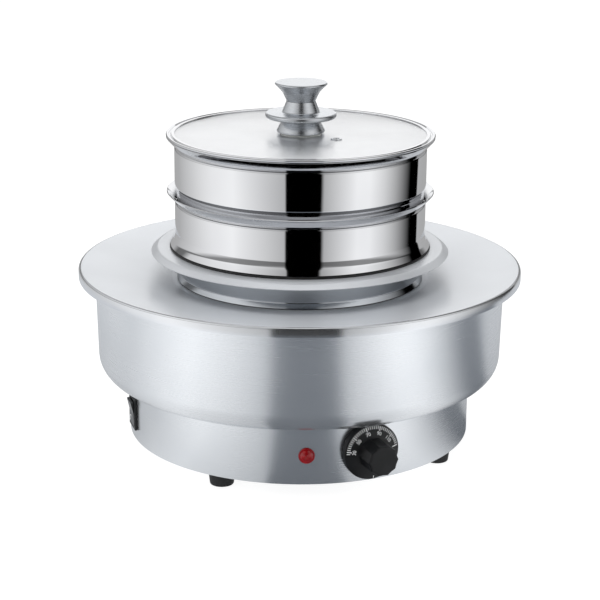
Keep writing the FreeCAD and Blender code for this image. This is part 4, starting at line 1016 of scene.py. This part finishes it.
TENT_SIDES = 96
tent = skinned([ring_of(TENT_RADIUS, level, TENT_SIDES) for level in (0, TENT_HEIGHT)])
only_mirrored(stage_mesh("tent", *tent, glowing("tent_cloth_lit", tent_shade)))

RINGS, SPOKES = 24, 64
# From just under the horizon to nearly straight up, in degrees
LOWEST, HIGHEST = -1, 89.9
rises = [math.radians(LOWEST + (HIGHEST - LOWEST) * ring / RINGS) for ring in range(RINGS + 1)]
ceiling = skinned([ring_of(ROOM * math.cos(rise), ROOM * math.sin(rise), SPOKES)
                   for rise in rises])
only_mirrored(stage_mesh("ceiling", *ceiling, glowing("ceiling_lit", ceiling_shade)))

world = bpy.data.worlds.new("white_room")
bpy.context.scene.world = world
world.use_nodes = True
tree = world.node_tree
tree.nodes.clear()
path = add(tree, "ShaderNodeLightPath")
plain = add(tree, "ShaderNodeMapRange", {"Value": path.outputs["Is Diffuse Ray"],
                                         "To Min": 1.0, "To Max": 0.55})
sky = add(tree, "ShaderNodeBackground", {"Color": (1, 1, 1, 1), "Strength": plain.outputs[0]})
add(tree, "ShaderNodeOutputWorld", {"Surface": sky.outputs[0]})


def softbox(name, spot, size, power):
    """A square area lamp aimed at the machine, too soft to show as a shape in the steel."""
    data = bpy.data.lights.new(name, "AREA")
    data.shape = "RECTANGLE"
    data.size, data.size_y = size
    data.energy = power
    lamp = bpy.data.objects.new(name, data)
    bpy.context.collection.objects.link(lamp)
    lamp.location = spot
    towards = Vector((0, 0, 0.15)) - Vector(spot)
    lamp.rotation_euler = towards.to_track_quat("-Z", "Y").to_euler()
    lamp.visible_glossy = False


softbox("softbox_top", (0.0, 0.1, 2.2), (2.0, 2.0), 26)
softbox("softbox_left", (-1.9, -0.9, 1.0), (1.2, 1.4), 12)
softbox("softbox_right", (1.9, -1.1, 0.9), (1.0, 1.4), 9)

camera_data = bpy.data.cameras.new("camera")
camera_data.lens = 106.7
camera_data.sensor_width = 36
camera = bpy.data.objects.new("camera", camera_data)
bpy.context.collection.objects.link(camera)
RISE, ROLL = math.radians(16.78), math.radians(0.45)
AIM_HEIGHT, AIM_RIGHT, CAMERA_REACH = 0.1375, 0.0005, 1.734
aim = Vector((0, 0, AIM_HEIGHT)) + camera_right * AIM_RIGHT
camera.location = aim + (to_camera * math.cos(RISE) + upward * math.sin(RISE)) * CAMERA_REACH
level_view = (aim - camera.location).to_track_quat("-Z", "Y")
camera.rotation_euler = (level_view @ Quaternion((0, 0, 1), ROLL)).to_euler()
bpy.context.scene.camera = camera
bpy.context.scene.view_settings.view_transform = "Standard"
